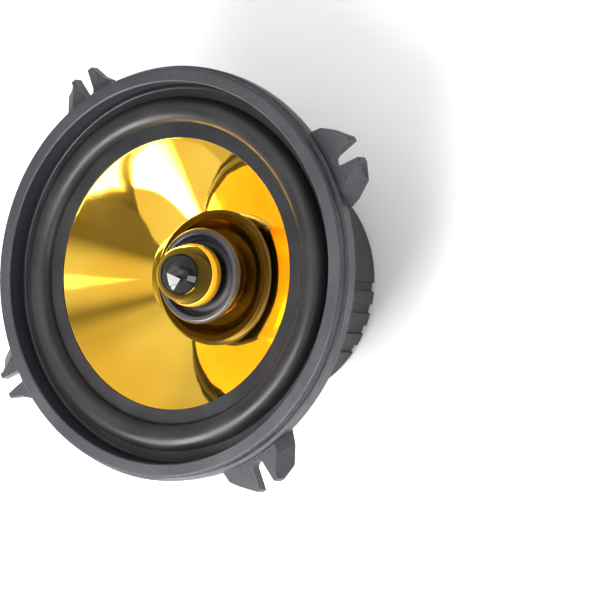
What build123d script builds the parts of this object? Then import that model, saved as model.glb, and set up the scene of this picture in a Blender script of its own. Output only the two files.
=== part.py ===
"""Coaxial car speaker: a 130 mm class woofer with a bullet tweeter on a post in front of its cone.

Units are millimetres. The speaker's axis is +Z, pointing out of the face. The origin is the
centre of the rubber boot's underside, where the speaker stands when it is laid face up.
"""
import math
import os

from build123d import *

# --- Heights, stacked from the boot's underside -----------------------------------------------
BOOT_FLOOR = 2.0
BACK_PLATE_T = 6.0
MAGNET_T = 11.5
TOP_PLATE_T = 4.5
BASKET_DEPTH = 36.4        # from the top plate to the flange's seat
RIM_HEIGHT = 9.6           # from the flange's seat to its face

# --- Flange ring --------------------------------------------------------------------------------
RIM_R = 66.0               # outside of the face
SKIRT_OUT = 1.0            # how far the skirt stands out below the face
RIM_WALL = 4.55            # width of the face
SKIRT_STEP = 3.2           # how far below the face the skirt starts
SKIRT_H = 4.2
SHELF_W = 4.95             # the shelf that carries the surround
SEAT_RECESS = 0.5          # depth of the recess in the seat that takes the basket's collar
EDGE_R = 1.0               # rounding of the face's outside edge
TAB_TOP_DROP = 5.6         # the tabs' upper side below the face
TAB_REACH = 10.0           # from the skirt to the tab's tip
SLOT_LAND = 1.2            # from the skirt to the end of the screw slot
SLOT_W = 4.2               # clears an M4 screw
SLOT_MOUTH_W = 6.2
PRONG_TIP_W = 1.5
PRONG_W = 6.6              # how far a prong reaches to the side of the slot's centre, at mid length
PRONG_WIDE_W = 10.2
GUSSET_W = 4.6             # how much wider the gusset is at its foot than at its top
TAB_DRAFT = 0.3            # how much narrower the tab's top is on each side
TAB_EDGE = 0.4
TAB_CENTRES = 45.0         # degrees; the four tabs are a quarter turn apart

# --- Surround -----------------------------------------------------------------------------------
LAND_DROP = 7.1            # outer land's top below the face
LAND_T = 0.9
OUTER_LAND_W = 3.95        # from the wall around it to the roll
ROLL_R = 4.5
ROLL_T = 0.8
INNER_LAND_W = 4.5         # from the roll to where the bare cone starts
INNER_LAND_DROP = 6.4      # inner land's top below the face
INNER_LAND_T = 0.7
FIT = 0.25                 # slack between a land's edge and the wall around it

# --- Cone and voice coil --------------------------------------------------------------------------
CONE_T = 0.8
CONE_RIM_W = 3.6           # flat rim under the surround's inner land
CONE_NECK_DROP = 30.5      # cone's neck below the face
FORMER_R_IN = 12.4
FORMER_T = 0.3
WINDING_T = 0.5
WINDING_H = 9.0
FORMER_TAIL = 0.6          # former below the winding
NECK_GLUE = 0.6            # former above the neck
COIL_GAP = 0.4             # running clearance on both sides of the coil

# --- Motor ----------------------------------------------------------------------------------------
PLATE_STEP = 2.6           # how far the magnet stands out past both plates
MAGNET_LAP = 3.4           # from the top plate's bore to the magnet's
POLE_PROUD = 0.5

# --- Basket ---------------------------------------------------------------------------------------
SHEET = 1.5
DRUM_GAP = 6.6             # from the magnet's outside in to the drum
BOWL_DEPTH = 25.4          # from the shoulder to the flange's seat
SHOULDER_W = 2.0
FLOOR_LAP = 4.4            # from the top plate's bore to the floor's
DRUM_CORNER = 1.0          # the floor is flat up to this far from the drum's outside
COLLAR_LAP = 2.0           # how far the collar reaches out under the shelf
COLLAR_STEP = 1.0          # how far the collar reaches in past the shelf
WINDOW_RISE = 6.5          # window's lower edge above the shoulder
WINDOW_H = 13.0
WINDOW_LOW_HALF = 16.5
WINDOW_HIGH_HALF = 23.5
WINDOW_CORNER = 2.6
FIN_ANGLE = 29.5           # degrees from a window's middle to the fin beside it
FIN_ARC = 1.8
FIN_PROUD = 2.4
RIVET_R = 1.5

# --- Spider ---------------------------------------------------------------------------------------
SPIDER_T = 0.6
SPIDER_WAVES = 5
SPIDER_WAVE_H = 1.1

# --- Rubber boot ----------------------------------------------------------------------------------
BOOT_R = 40.6
BOOT_WALL = 3.0
BOOT_OVER = 4.5            # how far the boot reaches past the top plate
BOOT_LIP = 1.2
GROOVE_DEPTH = 0.9
GROOVE_ARC = 4.3           # degrees
GROOVE_PITCH = 10.6        # degrees
GROOVES = 4                # in each group
GROUPS = 4
GROUP_TURN = -3.0          # degrees; the middle of the first group

# --- Tweeter --------------------------------------------------------------------------------------
POST_R = 6.0
STUD_R = 4.0
WIRE_BORE_R = 2.2
STUD_FIT = 0.05
NUT_T = 2.2
NUT_FLATS = 11.0
NUT_CLEAR = 0.4            # room around the nut and under it
LIP_W = 2.8
LIP_STEP = 1.7             # from the housing's outside to the lip's inside
LIP_DROP = 21.1            # lip's top below the face
LIP_H = 3.0                # lip's top above the diaphragm's top
HOUSING_CLEAR = 1.0        # from the voice coil former to the housing
HOUSING_WALL = 1.0
HOUSING_FLOOR = 1.2
HOUSING_DEPTH = 12.1       # lip's top to the housing's underside
TW_YOKE_FLOOR = 1.4
TW_YOKE_WALL = 1.9
TW_MAGNET_T = 3.5
TW_PLATE_T = 1.7
TW_MAGNET_STEP = 0.2       # how far the small magnet stays inside its plate
TW_GAP = 1.0
TW_COIL_T = 0.4
TW_COIL_DIP = 0.3          # how far the coil reaches below its top plate
TW_BOSS_W = 1.25
FILM_T = 0.3
FILM_ROLL_H = 0.7
PLUG_GAP = 3.0             # from the plug to the lip
PLUG_TIP_DROP = 3.3        # phase plug's tip below the face
PLUG_STEM_R = 3.15
PLUG_CLEAR = 0.5           # phase plug's underside above the film's rolls

# --- Terminals and wires --------------------------------------------------------------------------
BOARD_W = 22.0
BOARD_T = 1.8
BOARD_H = 11.0
BOARD_CLEAR = 2.4          # from the boot out to the board's back face
WINDOW_CLEAR = 1.0         # from the bowl at the window's lower edge out to the board's back face
BOARD_LOW = 2.2            # board's lower edge above the shoulder
PAD_H = 4.3
BOARD_RIVET_X = 9.0
BOARD_RIVET_R = 1.1
TERMINAL_X = 5.0
TERMINAL_T = 0.8
TERMINAL_RISE = 7.6        # terminal's rivet above the board's lower edge
CLIP_H = 6.0
CLIP_LIP = 1.4
WIDE_BLADE = 6.3
NARROW_BLADE = 4.8
LUG_W = 3.6
LUG_L = 9.0
WIRE_R = 0.45
WIRE_X = 0.9
WIRE_OVER = 2.4            # the tweeter wires above the boot's top, at most half way up to the board
LEAD_IN = 6.0              # straight part of a braided lead behind the board
LEAD_END_OUT = 7.8         # from the former out to where a braided lead meets the cone
LEAD_SAG = 3.2
LEAD_UNDER = 2.4           # lead's end below the cone's front
CHANNEL_W = 3.8
CHANNEL_D = 1.2
CAP_R = 4.0
CAP_L = 12.0
CAP_ANGLE = 225.0
CAP_LEAD_R = 0.35

# --- Places worked out from the sizes ---------------------------------------------------------------
Z_PLATE = BOOT_FLOOR
Z_MAGNET = Z_PLATE + BACK_PLATE_T
Z_TOP_PLATE = Z_MAGNET + MAGNET_T
Z_FLOOR = Z_TOP_PLATE + TOP_PLATE_T
Z_SEAT = Z_FLOOR + BASKET_DEPTH
Z_SHOULDER = Z_SEAT - BOWL_DEPTH
Z_FACE = Z_SEAT + RIM_HEIGHT
Z_LAND = Z_FACE - LAND_DROP
Z_INNER_LAND = Z_FACE - INNER_LAND_DROP
Z_CONE_EDGE = Z_INNER_LAND - INNER_LAND_T
Z_NECK = Z_FACE - CONE_NECK_DROP
Z_LEDGE = Z_FACE - LIP_DROP - LIP_H - FILM_T
Z_LIP = Z_FACE - LIP_DROP
Z_HOUSING = Z_LIP - HOUSING_DEPTH
Z_TW_FLOOR = Z_HOUSING + HOUSING_FLOOR
Z_POLE = Z_FLOOR + POLE_PROUD

SKIRT_R = RIM_R + SKIRT_OUT
SLOT_END_R = SKIRT_R + SLOT_LAND
TAB_TIP_R = SKIRT_R + TAB_REACH
LAND_R = RIM_R - RIM_WALL
SHELF_R_IN = LAND_R - SHELF_W
ROLL_R_MID = LAND_R - OUTER_LAND_W - ROLL_R
CONE_EDGE_R = ROLL_R_MID - ROLL_R - INNER_LAND_W
CONE_RIM_R = CONE_EDGE_R + CONE_RIM_W
COLLAR_R = SHELF_R_IN + COLLAR_LAP
COLLAR_R_IN = SHELF_R_IN - COLLAR_STEP
BOWL_R_HIGH = COLLAR_R - SHEET

FORMER_R = FORMER_R_IN + FORMER_T
WINDING_R = FORMER_R + WINDING_T
POLE_R = FORMER_R_IN - COIL_GAP
PLATE_BORE_R = WINDING_R + COIL_GAP
MAGNET_R_IN = PLATE_BORE_R + MAGNET_LAP
MAGNET_R = BOOT_R - BOOT_WALL
PLATE_R = MAGNET_R - PLATE_STEP
BOOT_H = Z_FLOOR + BOOT_OVER
BOARD_Z = Z_SHOULDER + BOARD_LOW

DRUM_R = MAGNET_R - DRUM_GAP
BOWL_R_LOW = DRUM_R + SHOULDER_W
FLOOR_R_IN = PLATE_BORE_R + FLOOR_LAP
RIVET_PCR = (FLOOR_R_IN + DRUM_R - DRUM_CORNER) / 2

HOUSING_R = FORMER_R_IN - HOUSING_CLEAR
LIP_R_IN = HOUSING_R + LIP_STEP
LIP_R = LIP_R_IN + LIP_W
PLUG_R = LIP_R_IN - PLUG_GAP
TW_GAP_R_OUT = HOUSING_R - HOUSING_WALL - TW_YOKE_WALL
TW_GAP_R_IN = TW_GAP_R_OUT - TW_GAP
TW_MAGNET_R = TW_GAP_R_IN - TW_MAGNET_STEP
TW_BOSS_R = PLUG_STEM_R + TW_BOSS_W


def turned(points):
    """A ring about the axis from a closed outline of (radius, height) points."""
    return revolve(make_face(Plane.XZ * Polyline(*points, close=True)), Axis.Z)


def turned_curve(*edges):
    """A ring about the axis from edges that together close an outline in the radius-height plane."""
    return revolve(make_face(Plane.XZ * Curve(edges)), Axis.Z)


def tube(r_in, r_out, low, high):
    """A plain tube about the axis."""
    return turned([(r_in, low), (r_out, low), (r_out, high), (r_in, high)])


def about_axis(shape, angle):
    """The shape turned about the axis by an angle in degrees."""
    return Rot(0, 0, angle) * shape


def rod_along_y(radius, x, z, y_from, y_to):
    """A round rod that runs along Y."""
    disc = Plane((x, y_from, z), z_dir=(0, 1, 0)) * Circle(radius)
    return extrude(disc, amount=y_to - y_from)


def bowl_r(z):
    """Radius of the bowl's outside at a height."""
    share = (z - Z_SHOULDER) / (Z_SEAT - 2 * SHEET - Z_SHOULDER)
    return BOWL_R_LOW + share * (BOWL_R_HIGH - BOWL_R_LOW)


def board_out():
    """How far the terminal board's back face is from the axis: clear of the boot and of the bowl."""
    return max(BOOT_R + BOARD_CLEAR, bowl_r(Z_SHOULDER + WINDOW_RISE) + WINDOW_CLEAR)


def bowl_slope():
    """Unit vector up the bowl's outside, and the unit vector from it to the inside."""
    run = BOWL_R_HIGH - BOWL_R_LOW
    rise = Z_SEAT - 2 * SHEET - Z_SHOULDER
    length = math.hypot(run, rise)
    return (run / length, rise / length), (-rise / length, run / length)


def bowl_inner_z(radius):
    """Height of the bowl's inside at a radius."""
    (run, rise), (across, up) = bowl_slope()
    return Z_SHOULDER + SHEET * up + (radius - BOWL_R_LOW - SHEET * across) * rise / run


def bowl_inner_r(z):
    """Radius of the bowl's inside at a height."""
    (run, rise), (across, up) = bowl_slope()
    return BOWL_R_LOW + SHEET * across + (z - Z_SHOULDER - SHEET * up) * run / rise


def cone_z(radius):
    """Height of the cone's front at a radius."""
    share = (radius - FORMER_R) / (CONE_EDGE_R - FORMER_R)
    return Z_NECK + share * (Z_CONE_EDGE - Z_NECK)


# --- Flange ring --------------------------------------------------------------------------------
def tab_outline(open_side, gusset_side, tip):
    """Outline of one tab in (outward, sideways); the gusset is on the positive side."""
    root = LAND_R + 1.0
    mouth = SLOT_MOUTH_W / 2
    foot = SKIRT_R + 2.4
    shoulder = SLOT_END_R + 0.75 * (tip - SLOT_END_R)
    knee = SLOT_END_R + 0.45 * (tip - SLOT_END_R)
    return [
        (root, gusset_side + 4.0),
        (foot, gusset_side + 2.0),
        (shoulder, gusset_side - 1.2),
        (tip, mouth + PRONG_TIP_W),
        (tip, -mouth - PRONG_TIP_W),
        (knee, -open_side),
        (foot, -open_side - 2.2),
        (root, -open_side - 3.6),
    ]


def tab(angle, open_side, mirrored):
    """One slotted fork tab: a thick plate with a sloping gusset down one side and a small edge chamfer."""
    top = Z_FACE - TAB_TOP_DROP
    levels = [
        (Z_SEAT, tab_outline(open_side, PRONG_W + GUSSET_W, TAB_TIP_R)),
        (top - TAB_EDGE, tab_outline(open_side - TAB_DRAFT, PRONG_W - TAB_DRAFT, TAB_TIP_R - TAB_DRAFT)),
        (top, tab_outline(open_side - TAB_DRAFT - TAB_EDGE, PRONG_W - TAB_DRAFT - TAB_EDGE,
                          TAB_TIP_R - TAB_DRAFT - TAB_EDGE)),
    ]
    faces = []
    for z, outline in levels:
        if mirrored:
            outline = [(r, -t) for r, t in reversed(outline)]
        faces.append(Pos(0, 0, z) * make_face(Polyline(*outline, close=True)))
    half = SLOT_W / 2
    mouth = SLOT_MOUTH_W / 2
    centre = SLOT_END_R + half
    slot = Pos(centre, 0) * Circle(half) + make_face(Polyline(
        (centre, -half), (TAB_TIP_R + 1, -mouth), (TAB_TIP_R + 1, mouth), (centre, half), close=True))
    cut = extrude(Pos(0, 0, Z_SEAT - 1) * slot, amount=top - Z_SEAT + 2)
    return about_axis(loft(faces, ruled=True) - cut, angle)


def flange_ring():
    """The moulded face ring: raised rim, skirt, inner shelf and four slotted tabs."""
    skirt_top = Z_FACE - SKIRT_STEP
    skirt_low = skirt_top - SKIRT_H
    rim = turned([
        (LAND_R, Z_LAND - LAND_T),
        (LAND_R, Z_FACE - 0.4),
        (LAND_R + 0.4, Z_FACE),
        (RIM_R, Z_FACE),
        (RIM_R, skirt_top),
        (SKIRT_R, skirt_top - 0.5),
        (SKIRT_R, skirt_low),
        (SKIRT_R - 2.2, Z_SEAT),
        (COLLAR_R + FIT, Z_SEAT),
        (COLLAR_R + FIT, Z_SEAT + SEAT_RECESS),
        (SHELF_R_IN, Z_SEAT + SEAT_RECESS),
        (SHELF_R_IN, Z_LAND - LAND_T),
    ])
    face_edges = rim.edges().filter_by(GeomType.CIRCLE).group_by(Axis.Z)[-1]
    rim = fillet(face_edges.sort_by(SortBy.RADIUS)[-1], EDGE_R)
    for quarter, (width, mirrored) in enumerate([
            (PRONG_WIDE_W, True), (PRONG_W, False), (PRONG_W, True), (PRONG_WIDE_W, False)]):
        rim += tab(TAB_CENTRES + 90 * quarter, width, mirrored)
    return rim


# --- Surround, cone and spider --------------------------------------------------------------------
def surround():
    """Half-round rubber roll with a flat land on each side."""
    r_in = ROLL_R_MID - ROLL_R
    r_out = ROLL_R_MID + ROLL_R
    slim = ROLL_R - ROLL_T
    low = Z_LAND - LAND_T
    inner_low = Z_CONE_EDGE
    outline = [
        Polyline((r_in, Z_INNER_LAND), (CONE_EDGE_R, Z_INNER_LAND), (CONE_EDGE_R, inner_low),
                 (CONE_RIM_R + FIT, inner_low), (ROLL_R_MID - slim, inner_low)),
        ThreePointArc((ROLL_R_MID - slim, inner_low), (ROLL_R_MID, Z_LAND + slim), (ROLL_R_MID + slim, low)),
        Polyline((ROLL_R_MID + slim, low), (LAND_R - FIT, low), (LAND_R - FIT, Z_LAND), (r_out, Z_LAND)),
        ThreePointArc((r_out, Z_LAND), (ROLL_R_MID, Z_LAND + ROLL_R), (r_in, Z_INNER_LAND)),
    ]
    return turned_curve(*outline)


def cone():
    """Straight-sided cone with a flat rim under the surround's inner land."""
    drop = CONE_T / math.cos(math.atan2(Z_CONE_EDGE - Z_NECK, CONE_EDGE_R - FORMER_R))
    return turned([
        (FORMER_R, Z_NECK),
        (CONE_EDGE_R, Z_CONE_EDGE),
        (CONE_RIM_R, Z_CONE_EDGE),
        (CONE_RIM_R, Z_CONE_EDGE - CONE_T),
        (CONE_EDGE_R, Z_CONE_EDGE - drop),
        (FORMER_R, Z_NECK - drop),
    ])


def spider():
    """Corrugated cloth disc between the basket's shoulder and the voice coil former."""
    low = Z_SHOULDER + SHEET
    rim_in = DRUM_R - SHEET + 0.3
    rim_out = bowl_inner_r(low) - FIT
    neck = FORMER_R + 1.6
    step = (rim_in - neck) / (2 * SPIDER_WAVES)
    ridge = [(FORMER_R, 0.0), (neck, 0.0)]
    ridge += [(neck + step * (2 * k + 1), SPIDER_WAVE_H) if i == 0 else (neck + step * (2 * k + 2), 0.0)
              for k in range(SPIDER_WAVES) for i in range(2)]
    ridge += [(rim_out, 0.0)]
    upper = [(r, low + SPIDER_T + h) for r, h in ridge]
    lower = [(r, low + h) for r, h in reversed(ridge)]
    return turned(upper + lower)


# --- Motor ------------------------------------------------------------------------------------------
def coil_low():
    """Lower end of the winding, which is centred on the top plate."""
    return Z_TOP_PLATE + TOP_PLATE_T / 2 - WINDING_H / 2


def back_plate():
    """Round steel plate with the pole in one piece, bored for the tweeter's stud."""
    body = tube(STUD_R + STUD_FIT, PLATE_R, Z_PLATE, Z_MAGNET)
    body += tube(STUD_R + STUD_FIT, POLE_R, Z_MAGNET, Z_POLE)
    upright = (Align.CENTER, Align.CENTER, Align.MIN)
    body -= Pos(0, 0, Z_PLATE) * Cylinder(nut_r() + NUT_CLEAR, nut_top() - Z_PLATE, align=upright)
    groove = Box(CHANNEL_W, PLATE_R + 1, CHANNEL_D, align=(Align.CENTER, Align.MAX, Align.MIN))
    return body - Pos(0, 0, Z_PLATE) * groove


def nut_r():
    """Corner radius of the hexagon nut."""
    return NUT_FLATS / math.sqrt(3)


def nut_top():
    """Height of the nut's upper face, above the wires that pass under it."""
    return Z_PLATE + CHANNEL_D + NUT_CLEAR + NUT_T


def post_nut():
    """Thin hexagon nut on the stud's lower end."""
    hexagon = RegularPolygon(nut_r(), 6) - Circle(STUD_R)
    return extrude(Pos(0, 0, nut_top() - NUT_T) * hexagon, amount=NUT_T)


def tweeter_post():
    """Hollow post with a stud that goes through the pole."""
    low = nut_top() - NUT_T - 0.2
    return turned([
        (WIRE_BORE_R, low), (STUD_R, low), (STUD_R, Z_POLE), (POST_R, Z_POLE), (POST_R, Z_HOUSING),
        (PLUG_STEM_R, Z_HOUSING), (PLUG_STEM_R, Z_TW_FLOOR), (WIRE_BORE_R, Z_TW_FLOOR),
    ])


def magnet_boot():
    """Rubber cup over the motor, with groups of upright grooves and a channel for the tweeter's wires."""
    cup = turned([
        (0, 0), (BOOT_R, 0), (BOOT_R, BOOT_H), (MAGNET_R, BOOT_H), (MAGNET_R, BOOT_FLOOR), (0, BOOT_FLOOR),
    ])
    rims = cup.edges().filter_by(GeomType.CIRCLE).group_by(Axis.Z)
    cup = fillet(rims[-1] + [e for e in rims[0] if e.radius > MAGNET_R], BOOT_LIP)
    width = 2 * BOOT_R * math.sin(math.radians(GROOVE_ARC / 2))
    groove = Pos(BOOT_R - GROOVE_DEPTH, 0, -1) * Box(
        5, width, BOOT_H - BOOT_LIP - 0.8 + 1, align=(Align.MIN, Align.CENTER, Align.MIN))
    first = -GROOVE_PITCH * (GROOVES - 1) / 2
    for group in range(GROUPS):
        for k in range(GROOVES):
            cup -= about_axis(groove, GROUP_TURN + 360 / GROUPS * group + first + GROOVE_PITCH * k)
    channel = Box(CHANNEL_W, CHANNEL_D + 2, BOOT_H, align=(Align.CENTER, Align.MIN, Align.MIN))
    return cup - Pos(0, -MAGNET_R - CHANNEL_D, BOOT_FLOOR) * channel


# --- Basket -----------------------------------------------------------------------------------------
def window(angle):
    """Cutter for one window: a rounded trapezium pushed out through the bowl's wall."""
    low = Z_SHOULDER + WINDOW_RISE
    high = low + WINDOW_H
    outline = make_face(Polyline(
        (-WINDOW_LOW_HALF, low), (WINDOW_LOW_HALF, low), (WINDOW_HIGH_HALF, high), (-WINDOW_HIGH_HALF, high),
        close=True))
    outline = fillet(outline.vertices(), WINDOW_CORNER)
    wall = Plane((DRUM_R - SHEET, 0, 0), x_dir=(0, 1, 0), z_dir=(1, 0, 0))
    return about_axis(extrude(wall * outline, amount=SKIRT_R - DRUM_R), angle)


def fin(angle):
    """A thin upright fin on the bowl's outside, beside a window."""
    low = Z_SHOULDER + WINDOW_RISE - 2.5
    high = Z_SEAT - 2 * SHEET - 0.8
    (run, rise), (across, up) = bowl_slope()
    root = -SHEET / 2
    outline = [
        (bowl_r(low) - root * across, low - root * up),
        (bowl_r(low) - 0.3 * across, low - 0.3 * up),
        (bowl_r(high) - FIN_PROUD * across, high - FIN_PROUD * up),
        (bowl_r(high) - root * across, high - root * up),
    ]
    face = make_face(Plane.XZ * Polyline(*outline, close=True))
    return about_axis(revolve(face, Axis.Z, revolution_arc=FIN_ARC), angle - FIN_ARC / 2)


def bowl_inside():
    """The space inside the bowl."""
    low = Z_SHOULDER + SHEET
    high = bowl_inner_z(COLLAR_R_IN)
    return turned([(0, low), (bowl_inner_r(low), low), (COLLAR_R_IN, high), (0, high)])


def basket():
    """Pressed basket: floor, drum, shoulder, windowed bowl and collar, and a pad for the terminals."""
    collar_low = Z_SEAT - SHEET
    collar_top = Z_SEAT + SEAT_RECESS
    body = turned([
        (FLOOR_R_IN, Z_FLOOR),
        (DRUM_R, Z_FLOOR),
        (DRUM_R, Z_SHOULDER),
        (BOWL_R_LOW, Z_SHOULDER),
        (BOWL_R_HIGH, collar_low - SHEET),
        (BOWL_R_HIGH, collar_low),
        (COLLAR_R, collar_low),
        (COLLAR_R, Z_SEAT),
        (COLLAR_R - SEAT_RECESS, collar_top),
        (COLLAR_R_IN, collar_top),
        (COLLAR_R_IN, bowl_inner_z(COLLAR_R_IN)),
        (bowl_inner_r(Z_SHOULDER + SHEET), Z_SHOULDER + SHEET),
        (DRUM_R - SHEET, Z_SHOULDER + SHEET),
        (DRUM_R - SHEET, Z_FLOOR + SHEET),
        (FLOOR_R_IN, Z_FLOOR + SHEET),
    ])
    pad_low = BOARD_Z - 0.7
    pad = Pos(0, -board_out(), pad_low) * Box(
        BOARD_W - 1, board_out() - DRUM_R, PAD_H, align=(Align.CENTER, Align.MIN, Align.MIN))
    body += pad - bowl_inside()
    for quarter in range(4):
        body -= window(90 * quarter)
        for side in (-1, 1):
            body += fin(90 * quarter + side * FIN_ANGLE)
    for x in (-BOARD_RIVET_X, BOARD_RIVET_X):
        body -= rod_along_y(BOARD_RIVET_R, x, rivet_z(), -board_out() - 1, -board_out() + 3)
    for k in range(4):
        body -= about_axis(Pos(RIVET_PCR, 0, Z_FLOOR) * Cylinder(RIVET_R, 4 * SHEET), TAB_CENTRES + 90 * k)
    return body


def top_plate():
    """Steel ring plate around the coil, with blind holes for the basket's rivets."""
    plate = tube(PLATE_BORE_R, PLATE_R, Z_TOP_PLATE, Z_FLOOR)
    for k in range(4):
        hole = Pos(RIVET_PCR, 0, Z_FLOOR) * Cylinder(RIVET_R, 2 * SHEET)
        plate -= about_axis(hole, TAB_CENTRES + 90 * k)
    return plate


def basket_rivets():
    """Four rivets that hold the basket's floor on the top plate."""
    rivets = []
    for k in range(4):
        shank = Pos(RIVET_PCR, 0, Z_FLOOR - SHEET) * Cylinder(
            RIVET_R, 2 * SHEET, align=(Align.CENTER, Align.CENTER, Align.MIN))
        head = Pos(RIVET_PCR, 0, Z_FLOOR + SHEET) * Cone(
            RIVET_R + 1.0, RIVET_R, 1.0, align=(Align.CENTER, Align.CENTER, Align.MIN))
        rivets.append(about_axis(shank + head, TAB_CENTRES + 90 * k))
    return Compound(children=rivets)


# --- Tweeter ----------------------------------------------------------------------------------------
def tweeter_housing():
    """Moulded housing with a rounded lip around the diaphragm."""
    mid = (LIP_R + LIP_R_IN) / 2
    side = Z_LIP - 1.8
    inner = Z_LIP - 0.8
    outline = [
        Polyline(
            (LIP_R_IN, inner), (LIP_R_IN, Z_LEDGE), (HOUSING_R - HOUSING_WALL, Z_LEDGE),
            (HOUSING_R - HOUSING_WALL, Z_TW_FLOOR), (PLUG_STEM_R, Z_TW_FLOOR), (PLUG_STEM_R, Z_HOUSING),
            (HOUSING_R, Z_HOUSING), (HOUSING_R, Z_LEDGE - 2.3), (HOUSING_R + 1.2, Z_LEDGE - 1.3),
            (LIP_R - 0.5, Z_LEDGE), (LIP_R, side)),
        ThreePointArc((LIP_R, side), (mid + 0.75, Z_LIP - 0.22), (mid - 0.1, Z_LIP)),
        ThreePointArc((mid - 0.1, Z_LIP), (LIP_R_IN + 0.45, Z_LIP - 0.2), (LIP_R_IN, inner)),
    ]
    return turned_curve(*outline)


def tweeter_yoke():
    """Steel cup around the tweeter's magnet."""
    r_out = HOUSING_R - HOUSING_WALL
    top = Z_TW_FLOOR + TW_YOKE_FLOOR + TW_MAGNET_T + TW_PLATE_T
    return turned([
        (PLUG_STEM_R, Z_TW_FLOOR), (r_out, Z_TW_FLOOR), (r_out, top), (TW_GAP_R_OUT, top),
        (TW_GAP_R_OUT, Z_TW_FLOOR + TW_YOKE_FLOOR), (PLUG_STEM_R, Z_TW_FLOOR + TW_YOKE_FLOOR),
    ])


def tweeter_magnet():
    """Small ring magnet."""
    low = Z_TW_FLOOR + TW_YOKE_FLOOR
    return tube(PLUG_STEM_R, TW_MAGNET_R, low, low + TW_MAGNET_T)


def tweeter_top_plate():
    """Pole disc of the tweeter, with a boss that carries the diaphragm's inner edge."""
    low = Z_TW_FLOOR + TW_YOKE_FLOOR + TW_MAGNET_T
    return turned([
        (PLUG_STEM_R, low), (TW_GAP_R_IN, low), (TW_GAP_R_IN, low + TW_PLATE_T),
        (TW_BOSS_R, low + TW_PLATE_T), (TW_BOSS_R, Z_LEDGE), (PLUG_STEM_R, Z_LEDGE),
    ])


def tweeter_coil():
    """Ring of fine wire in the tweeter's gap, under the diaphragm."""
    mid = (TW_GAP_R_IN + TW_GAP_R_OUT) / 2
    low = Z_TW_FLOOR + TW_YOKE_FLOOR + TW_MAGNET_T - TW_COIL_DIP
    return tube(mid - TW_COIL_T / 2, mid + TW_COIL_T / 2, low, Z_LEDGE)


def tweeter_diaphragm():
    """Ring of film with two rolls, clamped at its inner and outer edge."""
    rolls = [(TW_BOSS_R + 0.3, TW_GAP_R_IN), (TW_GAP_R_OUT, LIP_R_IN - 0.9)]
    outline = []
    for z, order in ((Z_LEDGE + FILM_T, 1), (Z_LEDGE, -1)):
        at = PLUG_STEM_R if order == 1 else LIP_R_IN
        for a, b in rolls[::order]:
            near, far = (a, b)[::order]
            outline.append(Line((at, z), (near, z)))
            outline.append(ThreePointArc((near, z), ((near + far) / 2, z + FILM_ROLL_H), (far, z)))
            at = far
        outline.append(Line((at, z), (LIP_R_IN if order == 1 else PLUG_STEM_R, z)))
    outline.append(Line((LIP_R_IN, Z_LEDGE + FILM_T), (LIP_R_IN, Z_LEDGE)))
    outline.append(Line((PLUG_STEM_R, Z_LEDGE), (PLUG_STEM_R, Z_LEDGE + FILM_T)))
    return turned_curve(*outline)


def phase_plug():
    """Pointed plug over the tweeter's middle, on a stem that goes down to the yoke."""
    tip = Z_FACE - PLUG_TIP_DROP
    base = Z_LEDGE + FILM_T + FILM_ROLL_H + PLUG_CLEAR
    waist = tip - 14.2
    nose = Spline((0, tip), (0.59 * PLUG_R, tip - 3.4), (0.855 * PLUG_R, tip - 7.3), (PLUG_R, waist),
                  tangents=[(1, -0.42), (0, -1)])
    stem_low = Z_TW_FLOOR + TW_YOKE_FLOOR / 2
    outline = [
        nose,
        Polyline((PLUG_R, waist), (PLUG_R, base + 0.5), (PLUG_R - 0.5, base), (TW_BOSS_R, base),
                 (TW_BOSS_R, Z_LEDGE + FILM_T), (PLUG_STEM_R, Z_LEDGE + FILM_T),
                 (PLUG_STEM_R, stem_low), (0, stem_low), (0, tip)),
    ]
    return turned_curve(*outline)


# --- Terminals and wires ----------------------------------------------------------------------------
def rivet_z():
    """Height of the rivets that hold the terminal board on its pad."""
    return BOARD_Z + 1.6


def terminal_z():
    """Height of the terminals' own rivets."""
    return BOARD_Z + TERMINAL_RISE


def terminal_board():
    """Small upright board with four holes."""
    plate = Plane((0, -board_out(), 0), x_dir=(1, 0, 0), z_dir=(0, -1, 0))
    outline = Pos(0, BOARD_Z + BOARD_H / 2) * RectangleRounded(BOARD_W, BOARD_H, 1.2)
    for side in (-1, 1):
        outline -= Pos(side * BOARD_RIVET_X, rivet_z()) * Circle(BOARD_RIVET_R)
        outline -= Pos(side * TERMINAL_X, terminal_z()) * Circle(BOARD_RIVET_R)
    return extrude(plate * outline, amount=BOARD_T)


def board_rivets():
    """Two rivets through the board into its pad."""
    front = -board_out() - BOARD_T
    rivets = []
    for side in (-1, 1):
        shank = rod_along_y(BOARD_RIVET_R, side * BOARD_RIVET_X, rivet_z(), front, -board_out() + 3)
        head = rod_along_y(BOARD_RIVET_R + 0.9, side * BOARD_RIVET_X, rivet_z(), front - 0.7, front)
        rivets.append(shank + head)
    return Compound(children=rivets)


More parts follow.
